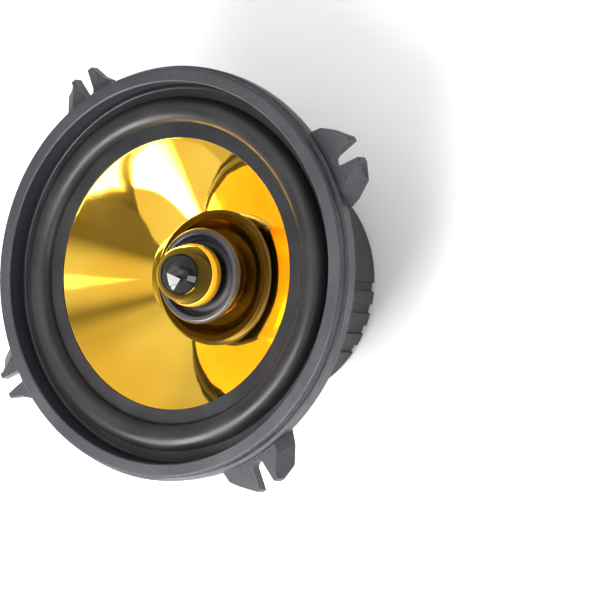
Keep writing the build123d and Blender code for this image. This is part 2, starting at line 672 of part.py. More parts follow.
def terminal(x, blade):
    """Push-on terminal: folded clip, neck and solder lug with an oval eye, riveted through the board."""
    front = -board_out() - BOARD_T
    z = terminal_z()
    plane = Plane((0, front, 0), x_dir=(1, 0, 0), z_dir=(0, -1, 0))
    clip_low = z - CLIP_H / 2 - 0.4
    lug_top = clip_low - 1.2
    lug_mid = lug_top - LUG_L / 2
    sheet = Pos(x, clip_low + CLIP_H / 2) * RectangleRounded(blade, CLIP_H, 0.6)
    sheet += Pos(x, clip_low - 0.6) * Rectangle(0.6 * LUG_W, 2.4)
    sheet += Pos(x, lug_mid) * SlotOverall(LUG_L, LUG_W, rotation=90)
    sheet -= Pos(x, lug_mid - LUG_L / 2 + 2.4) * SlotOverall(2.6, 1.5, rotation=90)
    body = extrude(plane * sheet, amount=TERMINAL_T)
    for side in (-1, 1):
        rail = Pos(x + side * (blade / 2 - TERMINAL_T / 2), clip_low + CLIP_H / 2) * Rectangle(
            TERMINAL_T, CLIP_H - 0.6)
        body += extrude(plane * rail, amount=TERMINAL_T + CLIP_LIP)
        lip = Pos(x + side * (blade / 2 - 0.9), clip_low + CLIP_H / 2) * Rectangle(1.8, CLIP_H - 0.6)
        body += extrude(plane.offset(TERMINAL_T + CLIP_LIP - 0.5) * lip, amount=0.5)
    body += rod_along_y(BOARD_RIVET_R, x, z, front, -board_out())
    body += rod_along_y(BOARD_RIVET_R + 0.8, x, z, -board_out(), -board_out() + 0.5)
    return body


def wire(x, points, radius, bend):
    """A round wire in an upright plane at x, through (y, z) points with rounded corners."""
    path = FilletPolyline(*[(x, y, z) for y, z in points], radius=bend)
    return sweep(Plane(path @ 0, z_dir=path % 0) * Circle(radius), path=path)


def tinsel_leads():
    """Two braided leads that loop from the terminals to the back of the cone."""
    z = terminal_z()
    back = -board_out() + 0.5
    end = -FORMER_R - LEAD_END_OUT
    end_z = cone_z(math.hypot(TERMINAL_X, end)) - LEAD_UNDER
    start = back + LEAD_IN
    dip = [(start + share * (end - start), z - LEAD_SAG) for share in (0.34, 0.72)]
    route = [(back, z), (start, z), *dip, (end, end_z)]
    return Compound(children=[wire(side * TERMINAL_X, route, WIRE_R, 2.2) for side in (-1, 1)])


def tweeter_leads():
    """Two wires from the terminal board down the boot's channel and up the hollow post."""
    out = -board_out() - BOARD_T / 2
    down = -MAGNET_R - CHANNEL_D / 2
    over = min(BOOT_H + WIRE_OVER, (BOOT_H + BOARD_Z) / 2)
    low = Z_PLATE + CHANNEL_D / 2
    route = [(out, BOARD_Z), (out, over), (down, over), (down, low), (0, low), (0, Z_TW_FLOOR)]
    return Compound(children=[wire(side * WIRE_X, route, WIRE_R, 1.2) for side in (-1, 1)])


def capacitor_place():
    """Frame of the capacitor: it lies against the bowl's inside, its axis up the slope."""
    (run, rise), (across, up) = bowl_slope()
    gap = SHEET + CAP_R + 0.15
    along = 12.0
    origin = (BOWL_R_LOW + run * along + across * gap, 0, Z_SHOULDER + rise * along + up * gap)
    return Plane(origin, x_dir=(0, 1, 0), z_dir=(run, 0, rise))


def capacitor():
    """Crossover capacitor in its sleeve."""
    can = Cylinder(CAP_R, CAP_L)
    can = fillet(can.edges().filter_by(GeomType.CIRCLE), 0.7)
    return about_axis(capacitor_place() * can, CAP_ANGLE)


def capacitor_leads():
    """The capacitor's two stiff wires, bent back along its can."""
    place = capacitor_place()
    leads = []
    for side in (-1, 1):
        end = side * CAP_L / 2
        past = side * (CAP_L / 2 + 1.6)
        path = FilletPolyline((0, 0, end), (0, 0, past), (side * 4.6, 1.5, past), radius=0.8)
        leads.append(sweep(Plane(path @ 0, z_dir=path % 0) * Circle(CAP_LEAD_R), path=path))
    return about_axis(place * Compound(children=leads), CAP_ANGLE)


def winding():
    """Copper winding on the lower end of the former."""
    return tube(FORMER_R, WINDING_R, coil_low(), coil_low() + WINDING_H)


NODES = {
    "flange_ring": flange_ring,
    "basket": basket,
    "basket_rivets": basket_rivets,
    "surround": surround,
    "cone": cone,
    "spider": spider,
    "voice_coil_former": lambda: tube(FORMER_R_IN, FORMER_R, coil_low() - FORMER_TAIL, Z_NECK + NECK_GLUE),
    "voice_coil_winding": winding,
    "top_plate": top_plate,
    "ring_magnet": lambda: tube(MAGNET_R_IN, MAGNET_R, Z_MAGNET, Z_TOP_PLATE),
    "back_plate": back_plate,
    "magnet_boot": magnet_boot,
    "tweeter_post": tweeter_post,
    "post_nut": post_nut,
    "tweeter_housing": tweeter_housing,
    "tweeter_yoke": tweeter_yoke,
    "tweeter_magnet": tweeter_magnet,
    "tweeter_top_plate": tweeter_top_plate,
    "tweeter_coil": tweeter_coil,
    "tweeter_diaphragm": tweeter_diaphragm,
    "phase_plug": phase_plug,
    "terminal_board": terminal_board,
    "board_rivets": board_rivets,
    "terminal_positive": lambda: terminal(TERMINAL_X, WIDE_BLADE),
    "terminal_negative": lambda: terminal(-TERMINAL_X, NARROW_BLADE),
    "tinsel_leads": tinsel_leads,
    "tweeter_leads": tweeter_leads,
    "capacitor": capacitor,
    "capacitor_leads": capacitor_leads,
}


if __name__ == "__main__":
    os.makedirs("parts", exist_ok=True)
    for name, build in NODES.items():
        export_step(build(), f"parts/{name}.step")
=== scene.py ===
"""Looks of a coaxial car speaker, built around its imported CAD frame.

The speaker's axis is +Z and its face looks up. Lengths are millimetres until they reach a mesh, a
light or the camera, where MM turns them into metres. Every new piece is worked out with numpy as
grids of points, and every finish is a node material.
"""

import logging
import math
from collections.abc import Mapping, Sequence
from dataclasses import dataclass
from enum import Enum

import bmesh
import bpy
import numpy as np
from mathutils import Matrix, Vector


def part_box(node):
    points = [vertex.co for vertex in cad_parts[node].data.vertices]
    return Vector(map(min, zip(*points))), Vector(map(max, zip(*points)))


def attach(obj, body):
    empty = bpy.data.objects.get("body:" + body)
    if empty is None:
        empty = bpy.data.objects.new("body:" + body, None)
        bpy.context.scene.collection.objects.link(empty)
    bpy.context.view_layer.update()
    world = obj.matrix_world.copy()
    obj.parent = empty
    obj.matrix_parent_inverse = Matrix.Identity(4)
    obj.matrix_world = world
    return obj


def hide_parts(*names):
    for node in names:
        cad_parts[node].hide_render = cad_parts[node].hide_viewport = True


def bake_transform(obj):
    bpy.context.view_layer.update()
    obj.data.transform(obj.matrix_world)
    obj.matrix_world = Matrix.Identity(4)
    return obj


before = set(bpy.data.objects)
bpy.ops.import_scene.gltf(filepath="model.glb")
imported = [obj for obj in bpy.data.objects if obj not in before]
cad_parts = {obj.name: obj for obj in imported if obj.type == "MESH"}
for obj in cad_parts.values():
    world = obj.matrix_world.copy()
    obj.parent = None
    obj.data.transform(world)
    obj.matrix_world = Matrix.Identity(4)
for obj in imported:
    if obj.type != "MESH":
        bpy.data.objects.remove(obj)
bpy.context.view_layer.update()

LOG = logging.getLogger("speaker")
MM = 0.001
AROUND = 256
Socket = bpy.types.NodeSocket
Outline = Sequence[tuple[float, float, float]]


# --- Places read from the frame ------------------------------------------------------------------
def low(node: str) -> np.ndarray:
    """Lowest corner of a CAD node, in millimetres."""
    return np.array(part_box(node)[0]) / MM


def high(node: str) -> np.ndarray:
    """Highest corner of a CAD node, in millimetres."""
    return np.array(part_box(node)[1]) / MM


def direction(azimuth: float, elevation: float) -> tuple[float, float, float]:
    """Unit direction at an azimuth from +X and an elevation above the floor, both in degrees."""
    azimuth, elevation = math.radians(azimuth), math.radians(elevation)
    flat = math.cos(elevation)
    return flat * math.cos(azimuth), flat * math.sin(azimuth), math.sin(elevation)


# --- Surfaces ------------------------------------------------------------------------------------
@dataclass(frozen=True)
class Patch:
    """A grid of points in millimetres, (rows, columns, 3), and which of its two ways close up."""

    points: np.ndarray
    close_rows: bool = False
    close_columns: bool = True

    def quads(self) -> tuple[np.ndarray, np.ndarray]:
        """Corners of the faces and their texture places.

        Each cell (i, j) of the grid is one face; indices wrap round where a way closes up.

        Returns:
            Point numbers, (faces, 4), and texture coordinates, (faces, 4, 2), both from 0.
        """
        rows, columns = self.points.shape[:2]
        last_row = rows if self.close_rows else rows - 1
        last_column = columns if self.close_columns else columns - 1
        i, j = np.meshgrid(np.arange(last_row), np.arange(last_column), indexing="ij")
        corners = ((i, j), (i, j + 1), (i + 1, j + 1), (i + 1, j))
        numbers = [(a % rows) * columns + b % columns for a, b in corners]
        places = [np.stack([b / last_column, a / last_row], -1) for a, b in corners]
        return np.stack(numbers, -1).reshape(-1, 4), np.stack(places, -2).reshape(-1, 4, 2)


def mesh_piece(name: str, patches: Sequence[Patch], sharp: float = 40.0) -> bpy.types.Object:
    """Makes one object from grids, merges its poles and turns its faces outwards.

    Args:
        name: The piece's name.
        patches: Grids that together make closed shells.
        sharp: Edges that turn by more than this many degrees are shaded sharp.

    Returns:
        The object, at the origin, with its place in its mesh.
    """
    made = [patch.quads() for patch in patches]
    starts = np.cumsum([0] + [patch.points.shape[0] * patch.points.shape[1] for patch in patches])
    numbers = np.concatenate([quads + start for (quads, _), start in zip(made, starts)])
    places = np.concatenate([uv for _, uv in made])
    points = np.concatenate([patch.points.reshape(-1, 3) for patch in patches]) * MM
    mesh = bpy.data.meshes.new(name)
    mesh.vertices.add(len(points))
    mesh.vertices.foreach_set("co", points.astype(np.float32).ravel())
    mesh.loops.add(numbers.size)
    mesh.loops.foreach_set("vertex_index", numbers.astype(np.int32).ravel())
    mesh.polygons.add(len(numbers))
    mesh.polygons.foreach_set("loop_start", np.arange(0, numbers.size, 4, dtype=np.int32))
    mesh.polygons.foreach_set("use_smooth", np.ones(len(numbers), bool))
    layer = mesh.uv_layers.new(name="UVMap")
    layer.data.foreach_set("uv", places.astype(np.float32).ravel())
    mesh.update(calc_edges=True)
    shell = bmesh.new()
    shell.from_mesh(mesh)
    bmesh.ops.remove_doubles(shell, verts=shell.verts, dist=1e-6)
    bmesh.ops.recalc_face_normals(shell, faces=shell.faces)
    shell.to_mesh(mesh)
    shell.free()
    mesh.set_sharp_from_angle(angle=math.radians(sharp))
    piece = bpy.data.objects.new(name, mesh)
    bpy.context.scene.collection.objects.link(piece)
    return piece


def rounded(corners: Outline, closed: bool = True, steps: int = 5) -> np.ndarray:
    """Outline whose corners are arcs.

    At a corner that turns by t, an arc of radius a starts a*tan(t/2) before the corner and ends as
    far behind it; its points are evenly spaced on the circle that touches both sides.

    Args:
        corners: (radius, height, rounding) of each corner, in order.
        closed: Whether the last corner joins the first.
        steps: Spans in each arc.

    Returns:
        Points (radius, height), shape (n, 2).
    """
    places = np.array([corner[:2] for corner in corners], float)
    before = np.roll(places, 1, axis=0)
    after = np.roll(places, -1, axis=0)
    made = []
    for k, (_, _, rounding) in enumerate(corners):
        at_end = not closed and k in (0, len(corners) - 1)
        if rounding <= 0 or at_end:
            made.append(places[k][None])
            continue
        back, ahead = before[k] - places[k], after[k] - places[k]
        reach_back, reach_ahead = np.linalg.norm(back), np.linalg.norm(ahead)
        back, ahead = back / reach_back, ahead / reach_ahead
        turn = math.pi - math.acos(float(np.clip(back @ ahead, -1, 1)))
        offset = min(rounding * math.tan(turn / 2), 0.49 * min(reach_back, reach_ahead))
        radius = offset / math.tan(turn / 2)
        middle = (back + ahead) / np.linalg.norm(back + ahead)
        centre = places[k] + middle * radius / math.cos(turn / 2)
        side = places[k] + back * offset - centre
        sign = math.copysign(1.0, back[1] * ahead[0] - back[0] * ahead[1])
        angles = sign * np.linspace(0, turn, steps + 1)
        cos, sin = np.cos(angles), np.sin(angles)
        spun = [side[0] * cos - side[1] * sin, side[0] * sin + side[1] * cos]
        made.append(centre + np.stack(spun, -1))
    return np.concatenate(made)


def arc(centre: tuple[float, float], radius: float, start: float, end: float, steps: int) -> np.ndarray:
    """Points on a circle in the radius-height plane.

    Args:
        centre: The circle's centre.
        radius: Its radius.
        start: First angle in degrees from the outward direction.
        end: Last angle.
        steps: Spans between the two.

    Returns:
        Points (radius, height), shape (steps + 1, 2).
    """
    angles = np.radians(np.linspace(start, end, steps + 1))
    return np.stack([centre[0] + radius * np.cos(angles), centre[1] + radius * np.sin(angles)], -1)


def held(outline: np.ndarray, closed: bool, margin: float = 0.06, run: float = 0.5) -> np.ndarray:
    """Adds a point near both ends of each long run of an outline, so that its shading stays flat.

    Args:
        outline: Points (radius, height).
        closed: Whether the last point joins the first.
        margin: Distance of the added points from the ends.
        run: Shortest run that gets them.

    Returns:
        The longer outline.
    """
    ends = np.roll(outline, -1, axis=0)
    lengths = np.linalg.norm(ends - outline, axis=1, keepdims=True)
    step = (ends - outline) / np.maximum(lengths, 1e-9) * margin
    rows = np.stack([outline, outline + step, ends - step], 1)
    keep = np.repeat(lengths > run, 3, axis=1)
    keep[:, 0] = True
    if not closed:
        keep[-1, 1:] = False
    return rows[keep]


def turned(outline: np.ndarray, closed: bool = True, around: int = AROUND) -> Patch:
    """Surface of an outline turned about the axis: (r cos t, r sin t, z) for t all the way round.

    Args:
        outline: Points (radius, height).
        closed: Whether the last point joins the first.
        around: Columns of the grid.

    Returns:
        The surface.
    """
    outline = held(outline, closed)
    angles = np.linspace(0, 2 * np.pi, around, endpoint=False)
    radius, height = outline[:, 0, None], outline[:, 1, None]
    points = np.stack(
        [radius * np.cos(angles), radius * np.sin(angles), height + np.zeros_like(angles)], -1)
    return Patch(points, close_rows=closed)


def tube(path: np.ndarray, side: np.ndarray, radius: np.ndarray, sides: int = 10) -> Patch:
    """Round tube along a path, closed at both ends.

    The ring at each point is p + radius (cos t * side + sin t * (along x side)); the first and the
    last ring shrink to a point.

    Args:
        path: Points on the centre line, (n, 3).
        side: A unit vector across the path at each point, (n, 3).
        radius: Radius at each point, (n,).
        sides: Corners of the ring.

    Returns:
        The tube's surface.
    """
    along = np.gradient(path, axis=0)
    along /= np.linalg.norm(along, axis=1, keepdims=True)
    side = side - along * np.sum(side * along, axis=1, keepdims=True)
    side /= np.linalg.norm(side, axis=1, keepdims=True)
    across = np.cross(along, side)
    path = np.concatenate([path[:1], path, path[-1:]])
    side = np.concatenate([side[:1], side, side[-1:]])
    across = np.concatenate([across[:1], across, across[-1:]])
    radius = np.concatenate([[0.0], radius, [0.0]])
    angles = np.linspace(0, 2 * np.pi, sides, endpoint=False)
    ring = np.cos(angles)[None, :, None] * side[:, None] + np.sin(angles)[None, :, None] * across[:, None]
    return Patch(path[:, None] + radius[:, None, None] * ring)


def smooth_route(points: Sequence[Sequence[float]], rounds: int = 5) -> np.ndarray:
    """Route with its corners cut: each round puts points at 1/4 and 3/4 of every run, ends kept.

    Args:
        points: The corners, (x, y, z).
        rounds: How often the corners are cut.

    Returns:
        The smooth route, (n, 3).
    """
    route = np.array(points, float)
    for _ in range(rounds):
        ahead, behind = route[1:], route[:-1]
        cut = np.stack([0.75 * behind + 0.25 * ahead, 0.25 * behind + 0.75 * ahead], 1).reshape(-1, 3)
        route = np.concatenate([route[:1], cut, route[-1:]])
    return route


def evenly(route: np.ndarray, count: int) -> np.ndarray:
    """The same route with its points evenly spaced along its length.

    Args:
        route: Points, (n, 3).
        count: How many points to make.

    Returns:
        The route, (count, 3).
    """
    travelled = np.concatenate([[0], np.cumsum(np.linalg.norm(np.diff(route, axis=0), axis=1))])
    places = np.linspace(0, travelled[-1], count)
    return np.stack([np.interp(places, travelled, route[:, k]) for k in range(3)], -1)


# --- Node trees ----------------------------------------------------------------------------------
def srgb(red: int, green: int, blue: int) -> tuple[float, float, float, float]:
    """A display colour (0 to 255) as a linear one."""
    share = np.array([red, green, blue]) / 255
    linear = np.where(share <= 0.04045, share / 12.92, ((share + 0.055) / 1.055) ** 2.4)
    return (*[float(part) for part in linear], 1.0)


class Tree:
    """Adds nodes to a node tree and wires them."""

    def __init__(self, tree: bpy.types.NodeTree) -> None:
        """Keeps the tree to work on."""
        self.tree = tree

    def add(self, kind: str, values: Mapping[str | int, object] | None = None,
            **settings: object) -> bpy.types.Node:
        """Adds one node.

        Args:
            kind: The node's type without its ShaderNode prefix.
            values: Socket name or number, and either a value or a socket to link from.
            **settings: Properties of the node itself.

        Returns:
            The node.
        """
        node = self.tree.nodes.new("ShaderNode" + kind)
        for key, value in settings.items():
            setattr(node, key, value)
        for key, value in (values or {}).items():
            self.fill(node.inputs[key], value)
        return node

    def fill(self, socket: Socket, value: object) -> None:
        """Links a socket when the value is itself a socket, and sets it otherwise."""
        if isinstance(value, bpy.types.NodeSocket):
            self.tree.links.new(value, socket)
        else:
            socket.default_value = value

    def math(self, operation: str, first: object, second: object = 0.0, clamp: bool = False) -> Socket:
        """Result of one Math node."""
        return self.add("Math", {0: first, 1: second}, operation=operation, use_clamp=clamp).outputs[0]

    def ramp(self, value: object, start: float, end: float, to_start: float = 0.0,
             to_end: float = 1.0) -> Socket:
        """The value mapped smoothly from one range to another."""
        node = self.add("MapRange", {0: value, 1: start, 2: end, 3: to_start, 4: to_end},
                        interpolation_type="SMOOTHSTEP")
        return node.outputs[0]

    def mix(self, share: object, first: object, second: object, blend: str = "MIX") -> Socket:
        """A mix of two colours."""
        node = self.add("Mix", {0: share, 6: first, 7: second}, data_type="RGBA", blend_type=blend)
        return node.outputs[2]

    def noise(self, where: object, scale: object, detail: float = 3.0, rough: float = 0.55) -> Socket:
        """Value of a noise texture."""
        node = self.add("TexNoise", {"Vector": where, "Scale": scale, "Detail": detail, "Roughness": rough})
        return node.outputs["Fac"]


class Effect(Enum):
    """The shared shader effects."""

    GRAIN = "moulded grain"
    # The edge mark paints pale edges: partly rubbed, partly a painted edge highlight.
    EDGE_WEAR = "edge wear"
    DUST = "settled dust"
    WEAVE = "woven threads"
    HANDLING = "handling marks"


SOCKET_FLOAT, SOCKET_VECTOR = "NodeSocketFloat", "NodeSocketVector"


class Effects:
    """Builds each shared effect once, as a node group, and places it in materials."""

    def __init__(self) -> None:
        """Builds all the groups."""
        self.groups = {
            Effect.GRAIN: self._grain(),
            Effect.EDGE_WEAR: self._edge_wear(),
            Effect.DUST: self._dust(),
            Effect.WEAVE: self._weave(),
            Effect.HANDLING: self._handling(),
        }

    def place(self, tree: Tree, effect: Effect, **values: object) -> bpy.types.Node:
        """Puts an effect in a material.

        Args:
            tree: The material's tree.
            effect: Which effect.
            **values: Its inputs, with underscores for spaces.

        Returns:
            The group node.
        """
        node = tree.add("Group")
        node.node_tree = self.groups[effect]
        for key, value in values.items():
            tree.fill(node.inputs[key.replace("_", " ")], value)
        return node

    @staticmethod
    def _new(effect: Effect, inputs: Mapping[str, float | None],
             outputs: Sequence[str]) -> tuple[Tree, bpy.types.Node, bpy.types.Node]:
        """Starts a group.

        Args:
            effect: The effect, which names the group.
            inputs: Each input's name and default; None makes it a vector.
            outputs: Names of the outputs, all plain values.

        Returns:
            The tree, its input node and its output node.
        """
        group = bpy.data.node_groups.new(effect.value, "ShaderNodeTree")
        for name, value in inputs.items():
            kind = SOCKET_VECTOR if value is None else SOCKET_FLOAT
            socket = group.interface.new_socket(name, in_out="INPUT", socket_type=kind)
            if value is not None:
                socket.default_value = value
        for name in outputs:
            group.interface.new_socket(name, in_out="OUTPUT", socket_type=SOCKET_FLOAT)
        return Tree(group), group.nodes.new("NodeGroupInput"), group.nodes.new("NodeGroupOutput")

    def _grain(self) -> bpy.types.NodeTree:
        """Fine pebbled height with pale flecks on its peaks."""
        tree, given, made = self._new(
            Effect.GRAIN, {"Vector": None, "Scale": 1500.0, "Flecks": 0.5}, ("Height", "Fleck"))
        where = given.outputs["Vector"]
        fine = tree.noise(where, given.outputs["Scale"], 2.0)
        broad = tree.noise(where, tree.math("MULTIPLY", given.outputs["Scale"], 0.31), 2.0)
        height = tree.math("ADD", tree.math("MULTIPLY", fine, 0.7), tree.math("MULTIPLY", broad, 0.3))
        fleck = tree.math("MULTIPLY", tree.ramp(fine, 0.52, 0.72), given.outputs["Flecks"])
        tree.tree.links.new(height, made.inputs["Height"])
        tree.tree.links.new(fleck, made.inputs["Fleck"])
        return tree.tree

    def _edge_wear(self) -> bpy.types.NodeTree:
        """Where the surface turns sharply, broken up by noise; the mask paints pale edges, partly rubbed
        and partly a painted edge highlight.

        The normal rounded over Width is compared with the true one: they differ only near edges.
        """
        tree, given, made = self._new(
            Effect.EDGE_WEAR, {"Vector": None, "Width": 0.0004, "Amount": 0.5}, ("Mask",))
        soft = tree.add("Bevel", {"Radius": given.outputs["Width"]}, samples=6)
        true = tree.add("NewGeometry")
        both = tree.add("VectorMath", {0: soft.outputs[0], 1: true.outputs["Normal"]},
                        operation="DOT_PRODUCT")
        edge = tree.ramp(both.outputs["Value"], 0.985, 0.86)
        patchy = tree.ramp(tree.noise(given.outputs["Vector"], 420.0, 5.0), 0.38, 0.62, 0.45, 1.0)
        mask = tree.math("MULTIPLY", tree.math("MULTIPLY", edge, patchy), given.outputs["Amount"], True)
        tree.tree.links.new(mask, made.inputs["Mask"])
        return tree.tree

    def _dust(self) -> bpy.types.NodeTree:
        """Specks and a thin film on surfaces that look up."""
        tree, given, made = self._new(Effect.DUST, {"Vector": None, "Amount": 0.3}, ("Mask",))
        normal = tree.add("SeparateXYZ", {0: tree.add("NewGeometry").outputs["Normal"]})
        upward = tree.ramp(normal.outputs["Z"], 0.2, 0.95)
        film = tree.ramp(tree.noise(given.outputs["Vector"], 60.0, 4.0), 0.35, 0.7, 0.1, 0.55)
        specks = tree.ramp(tree.noise(given.outputs["Vector"], 900.0, 1.0), 0.7, 0.78)
        both = tree.math("MAXIMUM", film, specks)
        mask = tree.math("MULTIPLY", tree.math("MULTIPLY", upward, both), given.outputs["Amount"], True)
        tree.tree.links.new(mask, made.inputs["Mask"])
        return tree.tree

    def _weave(self) -> bpy.types.NodeTree:
        """Plain weave: one thread set is on top where sin(u) sin(v) is positive, the other elsewhere."""
        tree, given, made = self._new(
            Effect.WEAVE, {"Vector": None, "Threads U": 400.0, "Threads V": 40.0}, ("Height", "Over"))
        place = tree.add("SeparateXYZ", {0: given.outputs["Vector"]})
        across = tree.math("MULTIPLY", place.outputs["X"], given.outputs["Threads U"])
        along = tree.math("MULTIPLY", place.outputs["Y"], given.outputs["Threads V"])
        wave_u = tree.math("SINE", tree.math("MULTIPLY", across, math.pi))
        wave_v = tree.math("SINE", tree.math("MULTIPLY", along, math.pi))
        product = tree.math("MULTIPLY", wave_u, wave_v)
        height = tree.math("ABSOLUTE", product)
        over = tree.ramp(product, -0.2, 0.2)
        tree.tree.links.new(height, made.inputs["Height"])
        tree.tree.links.new(over, made.inputs["Over"])
        return tree.tree

    def _handling(self) -> bpy.types.NodeTree:
        """Broad uneven polish with fine hairlines in it, from 0 to 1."""
        tree, given, made = self._new(Effect.HANDLING, {"Vector": None, "Scale": 45.0}, ("Value",))
        broad = tree.noise(given.outputs["Vector"], given.outputs["Scale"], 4.0)
        stretched = tree.add("Mapping", {"Vector": given.outputs["Vector"], "Scale": (30.0, 900.0, 60.0)})
        hair = tree.ramp(tree.noise(stretched.outputs[0], 3.0, 1.0), 0.62, 0.7, 0.0, 0.35)
        value = tree.math("ADD", tree.ramp(broad, 0.3, 0.7), hair, True)
        tree.tree.links.new(value, made.inputs["Value"])
        return tree.tree


# --- Finishes ------------------------------------------------------------------------------------
@dataclass(frozen=True)
class Finish:
    """A surface finish; each kind wires its own nodes."""

    name: str

    def material(self, effects: Effects) -> bpy.types.Material:
        """Builds the finish as a node material.

        Args:
            effects: The shared shader effects.

        Returns:
            The material.
        """
        made = bpy.data.materials.new(self.name)
        made.use_nodes = True
        made.node_tree.nodes.clear()
        tree = Tree(made.node_tree)
        shader = tree.add("BsdfPrincipled")
        output = tree.add("OutputMaterial")
        tree.tree.links.new(shader.outputs[0], output.inputs["Surface"])
        self.wire(tree, shader, effects)
        return made

    def wire(self, tree: Tree, shader: bpy.types.Node, effects: Effects) -> None:
        """Wires the finish's nodes to the shader; each kind of finish has its own.

        Args:
            tree: The material's tree.
            shader: Its principled shader.
            effects: The shared shader effects.
        """
        raise NotImplementedError

    @staticmethod
    def place(tree: Tree) -> Socket:
        """Object coordinates, in metres."""
        return tree.add("TexCoord").outputs["Object"]

    @staticmethod
    def bump(tree: Tree, shader: bpy.types.Node, height: object, depth: float) -> None:
        """Feeds a height to the shader's normal; depth is in metres."""
        node = tree.add("Bump", {"Strength": 1.0, "Distance": depth, "Height": height})
        tree.tree.links.new(node.outputs[0], shader.inputs["Normal"])

    @staticmethod
    def feed(tree: Tree, shader: bpy.types.Node, **values: object) -> None:
        """Fills the shader's inputs, named with underscores for spaces."""
        for key, value in values.items():
            tree.fill(shader.inputs[key.replace("_", " ")], value)


@dataclass(frozen=True)
class MouldedPlastic(Finish):
    """Spark-textured moulding with pale flecks, and pale edges that are partly rubbed and partly a painted
    edge highlight.
    """

    colour: tuple[float, ...] = srgb(36, 35, 41)
    fleck: tuple[float, ...] = srgb(88, 86, 96)
    worn_and_painted_highlight: tuple[float, ...] = srgb(118, 117, 127)
    grain_scale: float = 2600.0
    grain_depth: float = 0.00004
    flecks: float = 0.45
    rough: tuple[float, float] = (0.4, 0.55)
    wear: float = 0.6
    wear_and_painted_highlight_width: float = 0.0003
    dust: float = 0.05

    def wire(self, tree: Tree, shader: bpy.types.Node, effects: Effects) -> None:
        """Grain gives the height and the flecks; pale edges, partly rubbed and partly a painted edge
        highlight, and dust lie over the colour.
        """
        where = self.place(tree)
        grain = effects.place(tree, Effect.GRAIN, Vector=where, Scale=self.grain_scale, Flecks=self.flecks)
        edge = effects.place(tree, Effect.EDGE_WEAR, Vector=where, Width=self.wear_and_painted_highlight_width, Amount=self.wear)
        dust = effects.place(tree, Effect.DUST, Vector=where, Amount=self.dust)
        marks = effects.place(tree, Effect.HANDLING, Vector=where)
        colour = tree.mix(grain.outputs["Fleck"], self.colour, self.fleck)
        # Pale edges: partly rubbed, partly a painted edge highlight.
        colour = tree.mix(edge.outputs["Mask"], colour, self.worn_and_painted_highlight)
        colour = tree.mix(dust.outputs["Mask"], colour, srgb(190, 186, 180))
        rough = tree.ramp(marks.outputs["Value"], 0.0, 1.0, *self.rough)
        self.feed(tree, shader, Base_Color=colour, Roughness=rough, Specular_IOR_Level=0.45)
        self.bump(tree, shader, grain.outputs["Height"], self.grain_depth)


@dataclass(frozen=True)
class Rubber(Finish):
    """Black rubber: a dull sheen, fine skin, and pale edges that are partly whitish blooming and partly a
    painted edge highlight.
    """

    colour: tuple[float, ...] = srgb(15, 15, 17)
    pale: tuple[float, ...] = srgb(30, 29, 33)
    rough: tuple[float, float] = (0.3, 0.42)
    skin_scale: float = 900.0
    skin_depth: float = 0.00002
    bloom_and_painted_highlight: float = 0.3
    wear_and_painted_highlight_width: float = 0.0004

    def wire(self, tree: Tree, shader: bpy.types.Node, effects: Effects) -> None:
        """Noise tints the skin; the edges are whitened a little, partly as blooming of the rubber and
        partly as a painted edge highlight.
        """
        where = self.place(tree)
        skin = effects.place(tree, Effect.GRAIN, Vector=where, Scale=self.skin_scale, Flecks=0.25)
        edge = effects.place(tree, Effect.EDGE_WEAR, Vector=where, Width=self.wear_and_painted_highlight_width, Amount=self.bloom_and_painted_highlight)
        dust = effects.place(tree, Effect.DUST, Vector=where, Amount=0.05)
        marks = effects.place(tree, Effect.HANDLING, Vector=where, Scale=70.0)
        tone = tree.mix(tree.noise(where, 35.0, 4.0), self.colour, self.pale)
        # Pale edges: partly blooming of the rubber, partly a painted edge highlight.
        tone = tree.mix(tree.math("MAXIMUM", edge.outputs["Mask"], skin.outputs["Fleck"]), tone, self.pale)
        tone = tree.mix(dust.outputs["Mask"], tone, srgb(150, 148, 142))
        rough = tree.ramp(marks.outputs["Value"], 0.0, 1.0, *self.rough)
        self.feed(tree, shader, Base_Color=tone, Roughness=rough, Specular_IOR_Level=0.32)
        self.bump(tree, shader, skin.outputs["Height"], self.skin_depth)


@dataclass(frozen=True)
class GlossPaint(Finish):
    """Gloss black stoving paint with a faint orange peel, and bright edges that are partly rubbed and
    partly a painted edge highlight.
    """

    colour: tuple[float, ...] = srgb(16, 16, 18)
    peel_depth: float = 0.00003
    wear: float = 0.25

    def wire(self, tree: Tree, shader: bpy.types.Node, effects: Effects) -> None:
        """A low broad noise is the peel; dust dulls it from above."""
        where = self.place(tree)
        edge = effects.place(tree, Effect.EDGE_WEAR, Vector=where, Width=0.0003, Amount=self.wear)
        dust = effects.place(tree, Effect.DUST, Vector=where, Amount=0.15)
        marks = effects.place(tree, Effect.HANDLING, Vector=where, Scale=40.0)
        # Bright edges: partly rubbed paint, partly a painted edge highlight.
        colour = tree.mix(edge.outputs["Mask"], self.colour, srgb(120, 120, 124))
        colour = tree.mix(dust.outputs["Mask"], colour, srgb(120, 118, 112))
        rough = tree.ramp(marks.outputs["Value"], 0.0, 1.0, 0.12, 0.24)
        self.feed(tree, shader, Base_Color=colour, Roughness=rough, Coat_Weight=0.6, Coat_Roughness=0.08)
        self.bump(tree, shader, tree.noise(where, 260.0, 2.0), self.peel_depth)


